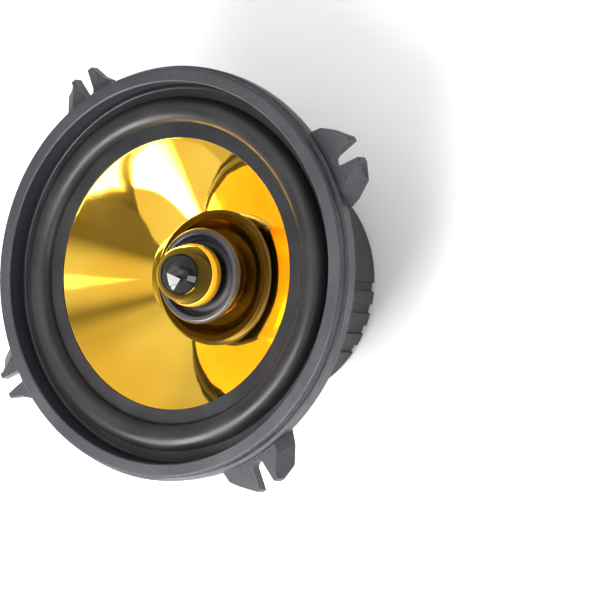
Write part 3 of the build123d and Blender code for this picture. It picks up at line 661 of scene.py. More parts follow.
@dataclass(frozen=True)
class PlatedMetal(Finish):
    """Bright metal, sharp or brushed, dulled in patches."""

    colour: tuple[float, ...] = srgb(200, 200, 204)
    dull: tuple[float, ...] = srgb(150, 150, 156)
    rough: tuple[float, float] = (0.16, 0.34)
    lines: float = 0.00001

    def wire(self, tree: Tree, shader: bpy.types.Node, effects: Effects) -> None:
        """Handling marks set the polish and the dull patches; fine rings are the tool marks."""
        where = self.place(tree)
        marks = effects.place(tree, Effect.HANDLING, Vector=where, Scale=120.0)
        colour = tree.mix(marks.outputs["Value"], self.colour, self.dull)
        rough = tree.ramp(marks.outputs["Value"], 0.0, 1.0, *self.rough)
        rings = tree.add("TexWave", {"Vector": where, "Scale": 900.0, "Distortion": 1.5, "Detail": 2.0},
                         wave_type="RINGS", rings_direction="Z")
        self.feed(tree, shader, Base_Color=colour, Roughness=rough, Metallic=1.0)
        self.bump(tree, shader, rings.outputs["Fac"], self.lines)


@dataclass(frozen=True)
class MirrorFilm(Finish):
    """Metallised mirror film in deep gold, with the faintest waviness and hairlines."""

    colour: tuple[float, ...] = (1.0, 0.62, 0.075, 1.0)
    deep: tuple[float, ...] = (0.93, 0.52, 0.045, 1.0)

    def wire(self, tree: Tree, shader: bpy.types.Node, effects: Effects) -> None:
        """Broad noise shifts the gold and bends the mirror very slightly."""
        where = self.place(tree)
        marks = effects.place(tree, Effect.HANDLING, Vector=where, Scale=25.0)
        broad = tree.noise(where, 30.0, 2.0)
        colour = tree.mix(tree.ramp(broad, 0.35, 0.65), self.colour, self.deep)
        rough = tree.ramp(marks.outputs["Value"], 0.0, 1.0, 0.025, 0.06)
        self.feed(tree, shader, Base_Color=colour, Roughness=rough, Metallic=1.0)
        self.bump(tree, shader, broad, 0.00012)


@dataclass(frozen=True)
class SatinShell(Finish):
    """Smooth slate-coloured shell with a satin lacquer."""

    colour: tuple[float, ...] = srgb(36, 39, 52)
    rough: tuple[float, float] = (0.28, 0.4)
    coat: float = 0.25

    def wire(self, tree: Tree, shader: bpy.types.Node, effects: Effects) -> None:
        """Handling marks vary the polish; the edges go pale, partly rubbed and partly a painted edge
        highlight.
        """
        where = self.place(tree)
        edge = effects.place(tree, Effect.EDGE_WEAR, Vector=where, Width=0.0003, Amount=0.35)
        marks = effects.place(tree, Effect.HANDLING, Vector=where, Scale=80.0)
        dust = effects.place(tree, Effect.DUST, Vector=where, Amount=0.08)
        deep = (*[0.8 * part for part in self.colour[:3]], 1.0)
        tone = tree.mix(tree.noise(where, 180.0, 3.0), self.colour, deep)
        # Pale edges: partly rubbed, partly a painted edge highlight.
        tone = tree.mix(edge.outputs["Mask"], tone, srgb(96, 100, 116))
        tone = tree.mix(dust.outputs["Mask"], tone, srgb(150, 150, 150))
        rough = tree.ramp(marks.outputs["Value"], 0.0, 1.0, *self.rough)
        self.feed(tree, shader, Base_Color=tone, Roughness=rough, Coat_Weight=self.coat,
                  Coat_Roughness=0.12)
        self.bump(tree, shader, tree.noise(where, 700.0, 2.0), 0.000006)


@dataclass(frozen=True)
class PolishedBlack(Finish):
    """Piano-black moulding with faint swirls."""

    colour: tuple[float, ...] = srgb(8, 8, 9)

    def wire(self, tree: Tree, shader: bpy.types.Node, effects: Effects) -> None:
        """Handling marks vary the gloss a little, and specks of dust sit on top."""
        where = self.place(tree)
        marks = effects.place(tree, Effect.HANDLING, Vector=where, Scale=90.0)
        dust = effects.place(tree, Effect.DUST, Vector=where, Amount=0.05)
        colour = tree.mix(dust.outputs["Mask"], self.colour, srgb(120, 120, 118))
        rough = tree.ramp(marks.outputs["Value"], 0.0, 1.0, 0.04, 0.09)
        self.feed(tree, shader, Base_Color=colour, Roughness=rough, Specular_IOR_Level=0.55)
        self.bump(tree, shader, tree.noise(where, 140.0, 1.0), 0.000008)


@dataclass(frozen=True)
class WovenCloth(Finish):
    """Resin-stiffened cloth; the weave follows the piece's own texture map."""

    colour: tuple[float, ...] = srgb(122, 62, 34)
    under: tuple[float, ...] = srgb(74, 34, 20)
    threads_around: float = 520.0
    threads_across: float = 96.0

    def wire(self, tree: Tree, shader: bpy.types.Node, effects: Effects) -> None:
        """The weave gives height and the two thread tones; resin gloss varies."""
        where = self.place(tree)
        across = tree.add("TexCoord").outputs["UV"]
        weave = effects.place(tree, Effect.WEAVE, Vector=across, Threads_U=self.threads_around,
                              Threads_V=self.threads_across)
        marks = effects.place(tree, Effect.HANDLING, Vector=where, Scale=60.0)
        tone = tree.mix(weave.outputs["Height"], self.under, self.colour)
        tone = tree.mix(tree.math("MULTIPLY", weave.outputs["Over"], 0.35), tone, srgb(150, 84, 48))
        rough = tree.ramp(marks.outputs["Value"], 0.0, 1.0, 0.5, 0.75)
        self.feed(tree, shader, Base_Color=tone, Roughness=rough)
        self.bump(tree, shader, weave.outputs["Height"], 0.00012)


@dataclass(frozen=True)
class Wound(Finish):
    """Enamelled winding or braid: metal with a tint that changes from turn to turn."""

    colour: tuple[float, ...] = srgb(196, 108, 52)
    deep: tuple[float, ...] = srgb(120, 56, 26)
    metal: float = 1.0
    rough: tuple[float, float] = (0.22, 0.4)

    def wire(self, tree: Tree, shader: bpy.types.Node, effects: Effects) -> None:
        """Stretched noise tints single turns."""
        where = self.place(tree)
        rows = tree.add("Mapping", {"Vector": where, "Scale": (60.0, 60.0, 3800.0)})
        tint = tree.noise(rows.outputs[0], 1.0, 2.0)
        marks = effects.place(tree, Effect.HANDLING, Vector=where, Scale=200.0)
        colour = tree.mix(tree.ramp(tint, 0.3, 0.7), self.deep, self.colour)
        rough = tree.ramp(marks.outputs["Value"], 0.0, 1.0, *self.rough)
        self.feed(tree, shader, Base_Color=colour, Roughness=rough, Metallic=self.metal)
        self.bump(tree, shader, tint, 0.00001)


@dataclass(frozen=True)
class Sleeve(Finish):
    """Printed or plain plastic sleeve, with one pale stripe along it when it is marked."""

    colour: tuple[float, ...] = srgb(24, 40, 78)
    stripe: tuple[float, ...] = srgb(190, 194, 200)
    striped: float = 0.0

    def wire(self, tree: Tree, shader: bpy.types.Node, effects: Effects) -> None:
        """The stripe is a band in the place across the sleeve; grain gives the skin."""
        where = self.place(tree)
        grain = effects.place(tree, Effect.GRAIN, Vector=where, Scale=1200.0, Flecks=0.2)
        marks = effects.place(tree, Effect.HANDLING, Vector=where, Scale=150.0)
        band = tree.add("SeparateXYZ", {0: where})
        diagonal = tree.math("SUBTRACT", band.outputs["X"], band.outputs["Y"])
        inside = tree.ramp(tree.math("ABSOLUTE", diagonal), 0.0016, 0.0013, 0.0, self.striped)
        colour = tree.mix(inside, self.colour, self.stripe)
        colour = tree.mix(grain.outputs["Fleck"], colour, self.stripe)
        rough = tree.ramp(marks.outputs["Value"], 0.0, 1.0, 0.3, 0.5)
        self.feed(tree, shader, Base_Color=colour, Roughness=rough, Coat_Weight=0.2)
        self.bump(tree, shader, grain.outputs["Height"], 0.00001)


SLOTS: dict[str, Finish] = {
    "flange_plastic": MouldedPlastic("flange_plastic"),
    "basket_paint": GlossPaint("basket_paint"),
    "surround_rubber": Rubber("surround_rubber"),
    "boot_rubber": Rubber("boot_rubber", srgb(42, 42, 44), srgb(62, 62, 64), (0.5, 0.68), 1300.0, 0.00005),
    "cone_gold": MirrorFilm("cone_gold"),
    "spider_cloth": WovenCloth("spider_cloth"),
    "former_foil": PlatedMetal("former_foil", srgb(176, 150, 92), srgb(140, 112, 62), (0.25, 0.4)),
    "copper_wire": Wound("copper_wire"),
    "zinc_steel": PlatedMetal("zinc_steel", srgb(198, 200, 206), srgb(150, 152, 160), (0.2, 0.38)),
    "ferrite": MouldedPlastic("ferrite", srgb(44, 44, 46), srgb(74, 74, 78), srgb(104, 104, 108),
                              2200.0, 0.00004, 0.4, (0.5, 0.7), 0.5),
    "nickel": PlatedMetal("nickel", srgb(206, 202, 192), srgb(164, 160, 150), (0.12, 0.25)),
    "tweeter_shell": SatinShell("tweeter_shell"),
    "plug_black": PolishedBlack("plug_black"),
    "film": SatinShell("film", srgb(7, 7, 8), (0.5, 0.62), 0.0),
    "board_plastic": MouldedPlastic("board_plastic", srgb(24, 23, 22), srgb(58, 52, 46),
                                    srgb(92, 84, 74), 2600.0, 0.00002, 0.35, (0.35, 0.5), 0.5),
    "tin_plate": PlatedMetal("tin_plate", srgb(214, 214, 216), srgb(160, 160, 164), (0.14, 0.3)),
    "silver_braid": Wound("silver_braid", srgb(210, 208, 200), srgb(140, 136, 124), 1.0, (0.25, 0.4)),
    "wire_sleeve": Sleeve("wire_sleeve", srgb(26, 26, 28), srgb(70, 70, 72)),
    "capacitor_sleeve": Sleeve("capacitor_sleeve", srgb(22, 36, 70), srgb(196, 198, 204), 1.0),
}
# Gold of the ring round the plug's waist, a painted reflection of the gold cone on the plug's flank.
PAINTED_REFLECTION_GOLD = PlatedMetal("painted_reflection_gold", (1.0, 0.72, 0.14, 1.0), (0.95, 0.6, 0.1, 1.0), (0.42, 0.55))


class Wardrobe:
    """Holds the built materials and puts them on pieces.

    The ring round the plug's waist is a painted reflection of the gold cone; its gold is softer than the
    cone's mirror film, so it has a finish of its own.
    """

    def __init__(self) -> None:
        """Builds the shared effects and every finish."""
        effects = Effects()
        self.materials = {slot: finish.material(effects) for slot, finish in SLOTS.items()}
        self.trim = PAINTED_REFLECTION_GOLD.material(effects)

    def dress(self, piece: bpy.types.Object, slot: str) -> bpy.types.Object:
        """Gives a new piece the finish of its slot."""
        piece.data.materials.append(self.materials[slot])
        return piece

    def dress_frame(self) -> None:
        """Gives every CAD node the finish of its own slot, which its first material names."""
        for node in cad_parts.values():
            for place in node.material_slots:
                place.material = self.materials[place.material.name.split(".")[0]]


# --- Soft parts and cone -------------------------------------------------------------------------
def blend_round(piece: bpy.types.Object) -> None:
    """Bakes a ring's place into its mesh and reads its points in millimetres; nothing makes the ring bend.

    Args:
        piece: The ring, in place, with no parent.
    """
    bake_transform(piece)
    count = len(piece.data.vertices)
    points = np.zeros(count * 3, np.float32)
    piece.data.vertices.foreach_get("co", points)
    points = points.reshape(-1, 3) / MM


@dataclass(frozen=True)
class Suspension:
    """Surround and spider: what holds the cone and lets it travel."""

    roll_radius: float = 4.5
    roll_wall: float = 0.8
    outer_land: float = 3.7
    inner_land: float = 4.5
    inner_rise: float = 0.9
    inner_wall: float = 0.7
    bead: float = 0.22
    bead_foot: float = 1.2
    bead_width: float = 0.8
    waves: int = 5
    wave_height: float = 1.1
    cloth: float = 0.6
    neck_bond: float = 1.6
    rim_clamp: float = 2.4

    def surround(self) -> bpy.types.Object:
        """Half-round roll with a flat land on each side.

        The outline is the outer land, half a circle of roll_radius over the upper side and one of
        roll_radius - roll_wall under it, and the inner land; it is turned about the axis.

        Returns:
            The ring, closed.
        """
        r_out = high("surround")[0]
        r_mid = r_out - self.outer_land - self.roll_radius
        top = high("surround")[2] - self.roll_radius
        under = low("surround")[2]
        inner_low = under + self.inner_rise
        inner_top = inner_low + self.inner_wall
        r_in = r_mid - self.roll_radius - self.inner_land
        slim = self.roll_radius - self.roll_wall
        outside = rounded([
            (r_mid + self.roll_radius, top, 0.0),
            (r_out - self.bead_foot, top, 0.2), (r_out - self.bead_width, top + self.bead, 0.25),
            (r_out, top + self.bead, 0.2),
            (r_out, under, 0.2), (r_mid + slim, under, 0.0)], closed=False)
        beneath = arc((r_mid, top), slim, 0, 180, 40)
        inside = rounded([
            (r_mid - slim, inner_low, 0.0), (r_in, inner_low, 0.15), (r_in, inner_top, 0.3),
            (r_mid - self.roll_radius, inner_top, 0.0)], closed=False)
        above = arc((r_mid, top), self.roll_radius, 170, 0, 56)
        return mesh_piece("surround_roll", [turned(np.concatenate([outside, beneath, inside, above]))])

    def spider(self) -> bpy.types.Object:
        """Corrugated cloth disc.

        Its height over the flat is wave_height * (1 - cos(2 pi n s)) / 2, with s from 0 at the neck to
        1 at the clamped rim and n waves; the lower side is the same curve one cloth lower.

        Returns:
            The disc, closed.
        """
        r_in = high("voice_coil_former")[0]
        r_out = high("spider")[0]
        base = low("spider")[2] + self.cloth
        first, last = r_in + self.neck_bond, r_out - self.rim_clamp
        radii = np.concatenate([[r_in], np.linspace(first, last, 24 * self.waves), [r_out]])
        share = np.clip((radii - first) / (last - first), 0, 1)
        wave = self.wave_height * (1 - np.cos(2 * np.pi * self.waves * share)) / 2
        upper = np.stack([radii, base + wave], -1)
        lower = np.stack([radii, base - self.cloth + wave], -1)[::-1]
        return mesh_piece("spider_cloth_disc", [turned(np.concatenate([upper, lower]))])

    def build(self, wardrobe: Wardrobe) -> list[bpy.types.Object]:
        """Builds both rings and dresses them.

        Args:
            wardrobe: The finishes.

        Returns:
            The pieces made.
        """
        surround = wardrobe.dress(self.surround(), "surround_rubber")
        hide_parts("surround")
        blend_round(surround)
        spider = wardrobe.dress(self.spider(), "spider_cloth")
        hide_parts("spider")
        blend_round(spider)
        return [surround, spider]


@dataclass(frozen=True)
class ConeAssembly:
    """Mirror cone, former and voice coil, which move together."""

    edge_inset: float = 3.6
    wall: float = 0.8
    neck_step: float = 1.0
    turn_pitch: float = 0.28
    wire_bulge: float = 0.1

    def cone(self) -> bpy.types.Object:
        """Straight cone with a flat rim: the outline's two long sides are parallel, a wall apart.

        Returns:
            The cone, closed.
        """
        rim = high("cone")[0]
        edge = rim - self.edge_inset
        neck = high("voice_coil_former")[0]
        top = high("cone")[2]
        slope_low = low("cone")[2]
        drop = self.wall / math.cos(math.atan2(top - slope_low - self.neck_step, edge - neck))
        foot = slope_low + drop
        outline = rounded([
            (neck, foot, 0.0), (edge, top, 0.12), (rim, top, 0.1), (rim, top - self.wall, 0.1),
            (edge, top - drop, 0.3), (neck, slope_low, 0.0)], steps=3)
        return mesh_piece("cone_mirror", [turned(outline, around=384)], sharp=30.0)

    def winding(self) -> bpy.types.Object:
        """Coil of round wire: the outside bulges once for each turn, bulge * |sin(pi z / pitch)|.

        Returns:
            The coil, closed.
        """
        r_in = high("voice_coil_former")[0]
        r_out = high("voice_coil_winding")[0]
        bottom, top = low("voice_coil_winding")[2], high("voice_coil_winding")[2]
        heights = np.linspace(bottom, top, round((top - bottom) / self.turn_pitch) * 6 + 1)
        bulge = self.wire_bulge * (np.abs(np.sin(np.pi * (heights - bottom) / self.turn_pitch)) - 1)
        outline = np.concatenate([
            [(r_in, bottom)], np.stack([r_out + bulge, heights], -1), [(r_in, top)]])
        return mesh_piece("voice_coil_turns", [turned(outline)], sharp=70.0)

    def build(self, wardrobe: Wardrobe) -> list[bpy.types.Object]:
        """Builds the cone and the coil, dresses them and puts them on the moving body.

        Args:
            wardrobe: The finishes.

        Returns:
            The pieces made.
        """
        cone = wardrobe.dress(self.cone(), "cone_gold")
        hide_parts("cone")
        coil = wardrobe.dress(self.winding(), "copper_wire")
        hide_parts("voice_coil_winding")
        made = [cone, coil]
        for piece in made:
            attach(piece, "cone_assembly")
        return made


# --- Tweeter -------------------------------------------------------------------------------------
@dataclass(frozen=True)
class Tweeter:
    """Small ring radiator with a pointed plug, on the post in front of the cone."""

    lip_width: float = 2.8
    nose_length: float = 14.2
    film: float = 0.3
    roll_height: float = 0.7
    painted_reflection_wall: float = 0.25
    stem: float = 3.15
    boss: float = 4.4
    plug_gap: float = 0.5
    film_seat: float = 4.7
    film_clamp: float = 0.9

    def plug(self) -> bpy.types.Object:
        """Pointed plug: its radius follows a smooth ogive from the tip to the waist, then is steady.

        The ogive passes through a few knots (see `ogive`); its points crowd together at the tip and
        the waist, at shares (1 - cos t) / 2 of the nose's length.

        Returns:
            The plug, closed.
        """
        radius = high("phase_plug")[0]
        tip = high("phase_plug")[2]
        base = high("tweeter_diaphragm")[2] + self.plug_gap
        film_top = high("tweeter_coil")[2] + self.film
        share = 0.5 * (1 - np.cos(np.linspace(0, np.pi, 72)))
        knots = ((0.0, 0.0), (0.59, 3.4 / self.nose_length), (0.855, 7.3 / self.nose_length), (1.0, 1.0))
        nose_r = radius * ogive(share, knots)
        nose = np.stack([nose_r, tip - self.nose_length * share], -1)
        skirt = rounded([
            (radius, tip - self.nose_length, 0.0), (radius, base, 0.6),
            (self.boss, base, 0.1), (self.boss, film_top, 0.0), (self.stem, film_top, 0.0),
            (self.stem, low("phase_plug")[2], 0.2),
            (0.0, low("phase_plug")[2], 0.0)], closed=False)
        return mesh_piece("bullet_plug", [turned(np.concatenate([nose, skirt[1:]]), closed=False)])

    def trim(self) -> bpy.types.Object:
        """Gold ring round the plug's waist, a painted reflection of the gold cone on the plug's flank: a
        low band with rounded edges, turned.

        Returns:
            The ring, closed.
        """
        radius = high("phase_plug")[0]
        waist = high("phase_plug")[2] - self.nose_length
        outline = rounded([
            (radius - 0.4, waist - 2.2, 0.0), (radius + self.painted_reflection_wall, waist - 2.2, 0.1),
            (radius + self.painted_reflection_wall, waist + 0.5, 0.2), (radius - 0.12, waist + 2.4, 0.12),
            (radius - 0.6, waist + 2.4, 0.0)])
        return mesh_piece("plug_painted_reflection_ring", [turned(outline)])

    def housing(self) -> bpy.types.Object:
        """Cup with a rounded lip, turned from an outline whose corners are all rounded.

        Returns:
            The housing, closed.
        """
        lip = high("tweeter_housing")[0]
        lip_in = lip - self.lip_width
        top, foot = high("tweeter_housing")[2], low("tweeter_housing")[2]
        ledge = high("tweeter_coil")[2]
        cup = high("tweeter_yoke")[0]
        outer = cup + 1.0
        floor = low("tweeter_yoke")[2]
        outline = rounded([
            (self.stem, foot, 0.0), (outer, foot, 0.5), (outer, ledge - 2.3, 0.6),
            (outer + 1.2, ledge - 1.3, 0.5), (lip - 0.5, ledge, 0.5), (lip, top - 1.5, 1.0),
            (lip - 0.8, top, 1.1),
            (lip_in + 0.5, top, 0.7), (lip_in, top - 0.9, 0.5), (lip_in, ledge, 0.05),
            (cup, ledge, 0.1), (cup, floor, 0.1), (self.stem, floor, 0.0)], steps=8)
        return mesh_piece("tweeter_cup", [turned(outline)])

    def diaphragm(self) -> bpy.types.Object:
        """Film ring: its height is roll_height * sin(pi s) over each of its two rolls, and 0 between.

        Returns:
            The ring, closed.
        """
        ledge = high("tweeter_coil")[2]
        coil_r = high("tweeter_coil")[0]
        rim = high("tweeter_diaphragm")[0]
        rolls = ((self.film_seat, coil_r - 0.7), (coil_r + 0.3, rim - self.film_clamp))
        radii = np.linspace(self.stem, rim, 150)
        lift = sum(self.roll_height * np.sin(np.pi * np.clip((radii - a) / (b - a), 0, 1))
                   for a, b in rolls)
        upper = np.stack([radii, ledge + self.film + lift], -1)
        lower = np.stack([radii, ledge + lift], -1)[::-1]
        return mesh_piece("tweeter_film_ring", [turned(np.concatenate([upper, lower]))])

    def build(self, wardrobe: Wardrobe) -> list[bpy.types.Object]:
        """Builds the plug, the gold ring that is the painted reflection of the cone on it, the cup and the
        film, dresses them and mounts all but the film.

        Args:
            wardrobe: The finishes.

        Returns:
            The pieces made.
        """
        plug = wardrobe.dress(self.plug(), "plug_black")
        cup = wardrobe.dress(self.housing(), "tweeter_shell")
        film = wardrobe.dress(self.diaphragm(), "film")
        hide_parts("phase_plug")
        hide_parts("tweeter_housing")
        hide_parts("tweeter_diaphragm")
        # Gold ring round the plug: a painted reflection of the gold cone.
        trim = self.trim()
        trim.data.materials.append(wardrobe.trim)
        for piece in (plug, cup, trim):
            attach(piece, "frame")
        blend_round(film)
        return [plug, cup, trim, film]


def ogive(share: np.ndarray, knots: Sequence[tuple[float, float]]) -> np.ndarray:
    """Radius share of a pointed nose, smooth through its knots.

    Between the knots (radius, drop) it is the monotone cubic whose slope at each inner knot is the
    harmonic mean of the slopes on both sides, and which ends upright.

    Args:
        share: Drop below the tip, 0 to 1.
        knots: (radius share, drop share) from the tip to the waist.

    Returns:
        Radius share at each drop.
    """
    radii, drops = np.array(knots).T
    slopes = np.diff(radii) / np.diff(drops)
    inner = 2 * slopes[1:] * slopes[:-1] / (slopes[1:] + slopes[:-1])
    tangents = np.concatenate([[1.35 * slopes[0]], inner, [0.0]])
    span = np.clip(np.searchsorted(drops, share, side="right") - 1, 0, len(slopes) - 1)
    width = np.diff(drops)[span]
    t = (share - drops[span]) / width
    return (
        radii[span] * (2 * t**3 - 3 * t**2 + 1) + width * tangents[span] * (t**3 - 2 * t**2 + t)
        + radii[span + 1] * (3 * t**2 - 2 * t**3) + width * tangents[span + 1] * (t**3 - t**2))


# --- Rubber boot ---------------------------------------------------------------------------------
@dataclass(frozen=True)
class Boot:
    """Rubber cup over the motor with groups of upright grooves."""

    wall: float = 3.0
    floor: float = 2.0
    lip: float = 1.2
    groups: int = 4
    grooves: int = 4
    pitch: float = 10.6
    groove_arc: float = 4.3
    groove_turn: float = -3.0
    groove_depth: float = 0.9
    soft: float = 0.35

    def centres(self) -> np.ndarray:
        """Middle of each groove in degrees: each group is spread about its share of the circle."""
        first = -self.pitch * (self.grooves - 1) / 2
        group, groove = np.meshgrid(np.arange(self.groups), np.arange(self.grooves))
        return (self.groove_turn + 360 / self.groups * group + first + self.pitch * groove).ravel()

    def groove_shape(self, angles: np.ndarray) -> np.ndarray:
        """How deep the grooves are at each angle, from 0 to 1.

        Each groove is a plateau groove_arc wide with sides that ease over `soft` degrees.

        Args:
            angles: Angles in degrees.

        Returns:
            Share of the full depth.
        """
        away = np.abs((angles[:, None] - self.centres()[None] + 180) % 360 - 180)
        share = np.clip((self.groove_arc / 2 + self.soft / 2 - away) / self.soft, 0, 1)
        return (share * share * (3 - 2 * share)).max(axis=1)

    def cup(self) -> bpy.types.Object:
        """Cup as one grid of angle and outline.

        The radius of the outside is R - depth * groove(angle) * fade(z), where fade drops to 0 under
        the lip; the columns crowd together at the grooves' sides so that these stay crisp.

        Returns:
            The cup, closed.
        """
        r_out, top = high("magnet_boot")[0], high("magnet_boot")[2]
        r_in = r_out - self.wall
        outline = rounded([
            (0.0, 0.0, 0.0), (r_out, 0.0, self.lip), (r_out, top - self.lip - 1.2, 0.0),
            (r_out, top - self.lip - 0.6, 0.0), (r_out, top, self.lip), (r_in, top, 0.9),
            (r_in, self.floor, 0.3), (0.0, self.floor, 0.0)], closed=False, steps=8)
        outline = held(outline, closed=False)
        wall = np.abs(outline[:, 0] - r_out) < 1.3
        fade = np.clip((top - self.lip - 0.6 - outline[:, 1]) / 0.6, 0, 1)
        fade = fade * wall * (outline[:, 1] < top - 1)
        even = np.arange(0, 360, 1.25)
        centres = self.centres()
        sides = np.concatenate([centres - self.groove_arc / 2, centres + self.groove_arc / 2])
        crowd = (sides[:, None] + np.linspace(-0.6, 0.6, 9) * self.soft).ravel() % 360
        angles = np.unique(np.round(np.concatenate([even, crowd]), 4))
        dent = self.groove_depth * self.groove_shape(angles)
        radius = outline[:, 0, None] - np.minimum(dent[None] * fade[:, None], outline[:, 0, None])
        turn = np.radians(angles)
        height = outline[:, 1, None] + np.zeros_like(turn)
        points = np.stack([radius * np.cos(turn), radius * np.sin(turn), height], -1)
        return mesh_piece("motor_boot", [Patch(points)], sharp=50.0)

    def build(self, wardrobe: Wardrobe) -> list[bpy.types.Object]:
        """Builds the boot, dresses it and mounts it.

        Args:
            wardrobe: The finishes.

        Returns:
            The pieces made.
        """
        cup = wardrobe.dress(self.cup(), "boot_rubber")
        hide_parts("magnet_boot")
        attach(cup, "frame")
        return [cup]


# --- Braided leads -------------------------------------------------------------------------------
@dataclass(frozen=True)
class Leads:
    """Braided leads from the terminals to the cone, which flex as it moves."""

    strands: int = 12
    strand_radius: float = 0.12
    braid_radius: float = 0.34
    pitch: float = 3.2
    dip: float = 3.2
    half_lead: float = 0.45
    held_run: float = 6.0
    sag_shares: tuple[float, float] = (0.34, 0.72)
    points: int = 150

    def braid(self, x: float) -> list[Patch]:
        """Strands wound both ways round a centre line.

        Strand k is at angle 2 pi (k / n + s / pitch) about the line, half of them turning back, and
        its distance from the line swings by its own radius, so the two sets pass over and under.

        Args:
            x: The lead's place across the board.

        Returns:
            One tube for each strand.
        """
        box_low, box_high = low("tinsel_leads"), high("tinsel_leads")
        height = box_low[2] + self.half_lead + self.dip
        back, end = box_low[1], box_high[1]
        start = back + self.held_run
        tip = box_high[2] - 0.4
        route = [(x, back, height), (x, start, height)]
        route += [(x, start + share * (end - start), height - self.dip) for share in self.sag_shares]
        route += [(x, end - self.half_lead, min(tip, height - 0.9))]
        line = evenly(smooth_route(route), self.points)
        length = np.linalg.norm(np.diff(line, axis=0), axis=1).sum()
        travelled = np.linspace(0, length, self.points)
        along = np.gradient(line, axis=0)
        along /= np.linalg.norm(along, axis=1, keepdims=True)
        across = np.broadcast_to([1.0, 0.0, 0.0], line.shape)
        up = np.cross(along, across)
        half = self.strands // 2
        patches = []
        for k in range(self.strands):
            way = 1 if k < half else -1
            phase = 2 * np.pi * ((k % half) / half + way * travelled / self.pitch)
            swing = self.strand_radius * 0.8 * np.sin(half * phase + (0 if way > 0 else np.pi))
            out = np.cos(phase)[:, None] * across + np.sin(phase)[:, None] * up
            path = line + out * (self.braid_radius - self.strand_radius + swing)[:, None]
            patches.append(tube(path, out, np.full(self.points, self.strand_radius), 6))
        return patches

    def build(self, wardrobe: Wardrobe) -> list[bpy.types.Object]:
        """Builds both leads as one piece that runs between the board and the cone.

        Args:
            wardrobe: The finishes.

        Returns:
            The pieces made.
        """
        side = high("tinsel_leads")[0] - self.half_lead
        piece = mesh_piece("braided_leads", self.braid(side) + self.braid(-side))
        wardrobe.dress(piece, "silver_braid")
        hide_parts("tinsel_leads")
        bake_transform(piece)
        return [piece]


# --- Studio --------------------------------------------------------------------------------------
@dataclass(frozen=True)
class Softbox:
    """A rectangular light that looks at the speaker."""

    name: str
    azimuth: float
    elevation: float
    distance: float
    width: float
    height: float
    radiance: float
    roll: float = 0.0
    aim: tuple[float, float, float] = (0.0, 0.0, 0.055)

    def light(self) -> None:
        """Places the light: azimuth from +X, elevation above the floor, distance from the aim."""
        out = Vector(direction(self.azimuth, self.elevation))
        data = bpy.data.lights.new(self.name, "AREA")
        data.shape = "RECTANGLE"
        data.size, data.size_y = self.width, self.height
        data.energy = self.radiance * math.pi * self.width * self.height
        lamp = bpy.data.objects.new(self.name, data)
        lamp.visible_camera = False
        turn = out.to_track_quat("Z", "Y").to_matrix() @ Matrix.Rotation(math.radians(self.roll), 3, "Z")
        lamp.matrix_world = Matrix.Translation(Vector(self.aim) + out * self.distance) @ turn.to_4x4()
        bpy.context.scene.collection.objects.link(lamp)


@dataclass(frozen=True)
class Panel:
    """A glowing panel in a plane that faces the speaker, with a free-form upper and lower edge.

    Each edge is a row of (across, up) places; `fade` is where, across the panel, its glow goes from
    `faded` to `radiance`.
    """

    name: str
    upper: tuple[tuple[float, float], ...]
    lower: tuple[tuple[float, float], ...]
    radiance: float
    distance: float = 350.0
    fade: tuple[float, float] = (-2000.0, -1999.0)
    faded: float = 0.0
    out: tuple[float, float, float] = (0.207, -0.771, 0.602)
    across: tuple[float, float, float] = (0.966, 0.259, 0.0)
    up: tuple[float, float, float] = (-0.156, 0.581, 0.799)

    def light(self) -> None:
        """Builds the panel as two rows of points joined by faces; it fades out along `across`."""
        rows = np.array([self.upper, self.lower], float)
        frame_of_panel = np.array([self.across, self.up])
        points = rows @ frame_of_panel + self.distance * np.array(self.out)
        panel = mesh_piece(self.name, [Patch(points, close_columns=False)])
        panel.visible_camera = False
        panel.visible_shadow = False
        glow = bpy.data.materials.new(self.name)
        glow.use_nodes = True
        glow.node_tree.nodes.clear()
        tree = Tree(glow.node_tree)
        where = tree.add("TexCoord").outputs["Object"]
        along = tree.add("VectorMath", {0: where, 1: self.across}, operation="DOT_PRODUCT")
        start, end = self.fade
        level = tree.ramp(along.outputs["Value"], start * MM, end * MM, self.faded, self.radiance)
        light = tree.add("Emission", {"Strength": level})
        output = tree.add("OutputMaterial")
        tree.tree.links.new(light.outputs[0], output.inputs["Surface"])
        panel.data.materials.append(glow)


@dataclass(frozen=True)
class Lobe:
    """A soft patch of the surroundings, brighter or darker than the rest."""

    azimuth: float
    elevation: float
    inner: float
    outer: float
    gain: float

    def level(self, tree: Tree, where: Socket) -> Socket:
        """The gain within `inner` degrees of the patch's middle, easing to 0 at `outer`.

        Args:
            tree: The surroundings' tree.
            where: The direction that is looked along.

        Returns:
            The patch's share of the light.
        """
        axis = direction(self.azimuth, self.elevation)
        facing = tree.add("VectorMath", {0: where, 1: axis}, operation="DOT_PRODUCT").outputs["Value"]
        edge, core = math.cos(math.radians(self.outer)), math.cos(math.radians(self.inner))
        return tree.ramp(facing, edge, core, 0.0, self.gain)


LONG_EDGE = ((-79.0, 49.0), (-33.0, 62.0), (-8.0, 70.0), (6.0, 74.0), (33.0, 83.0), (59.0, 93.0),
             (98.0, 111.0), (131.0, 129.0), (152.0, 142.0), (230.0, 196.0), (300.0, 248.0))
FAR_EDGE = ((-520.0, -90.0), (-184.0, 12.0), (-132.0, 30.0))


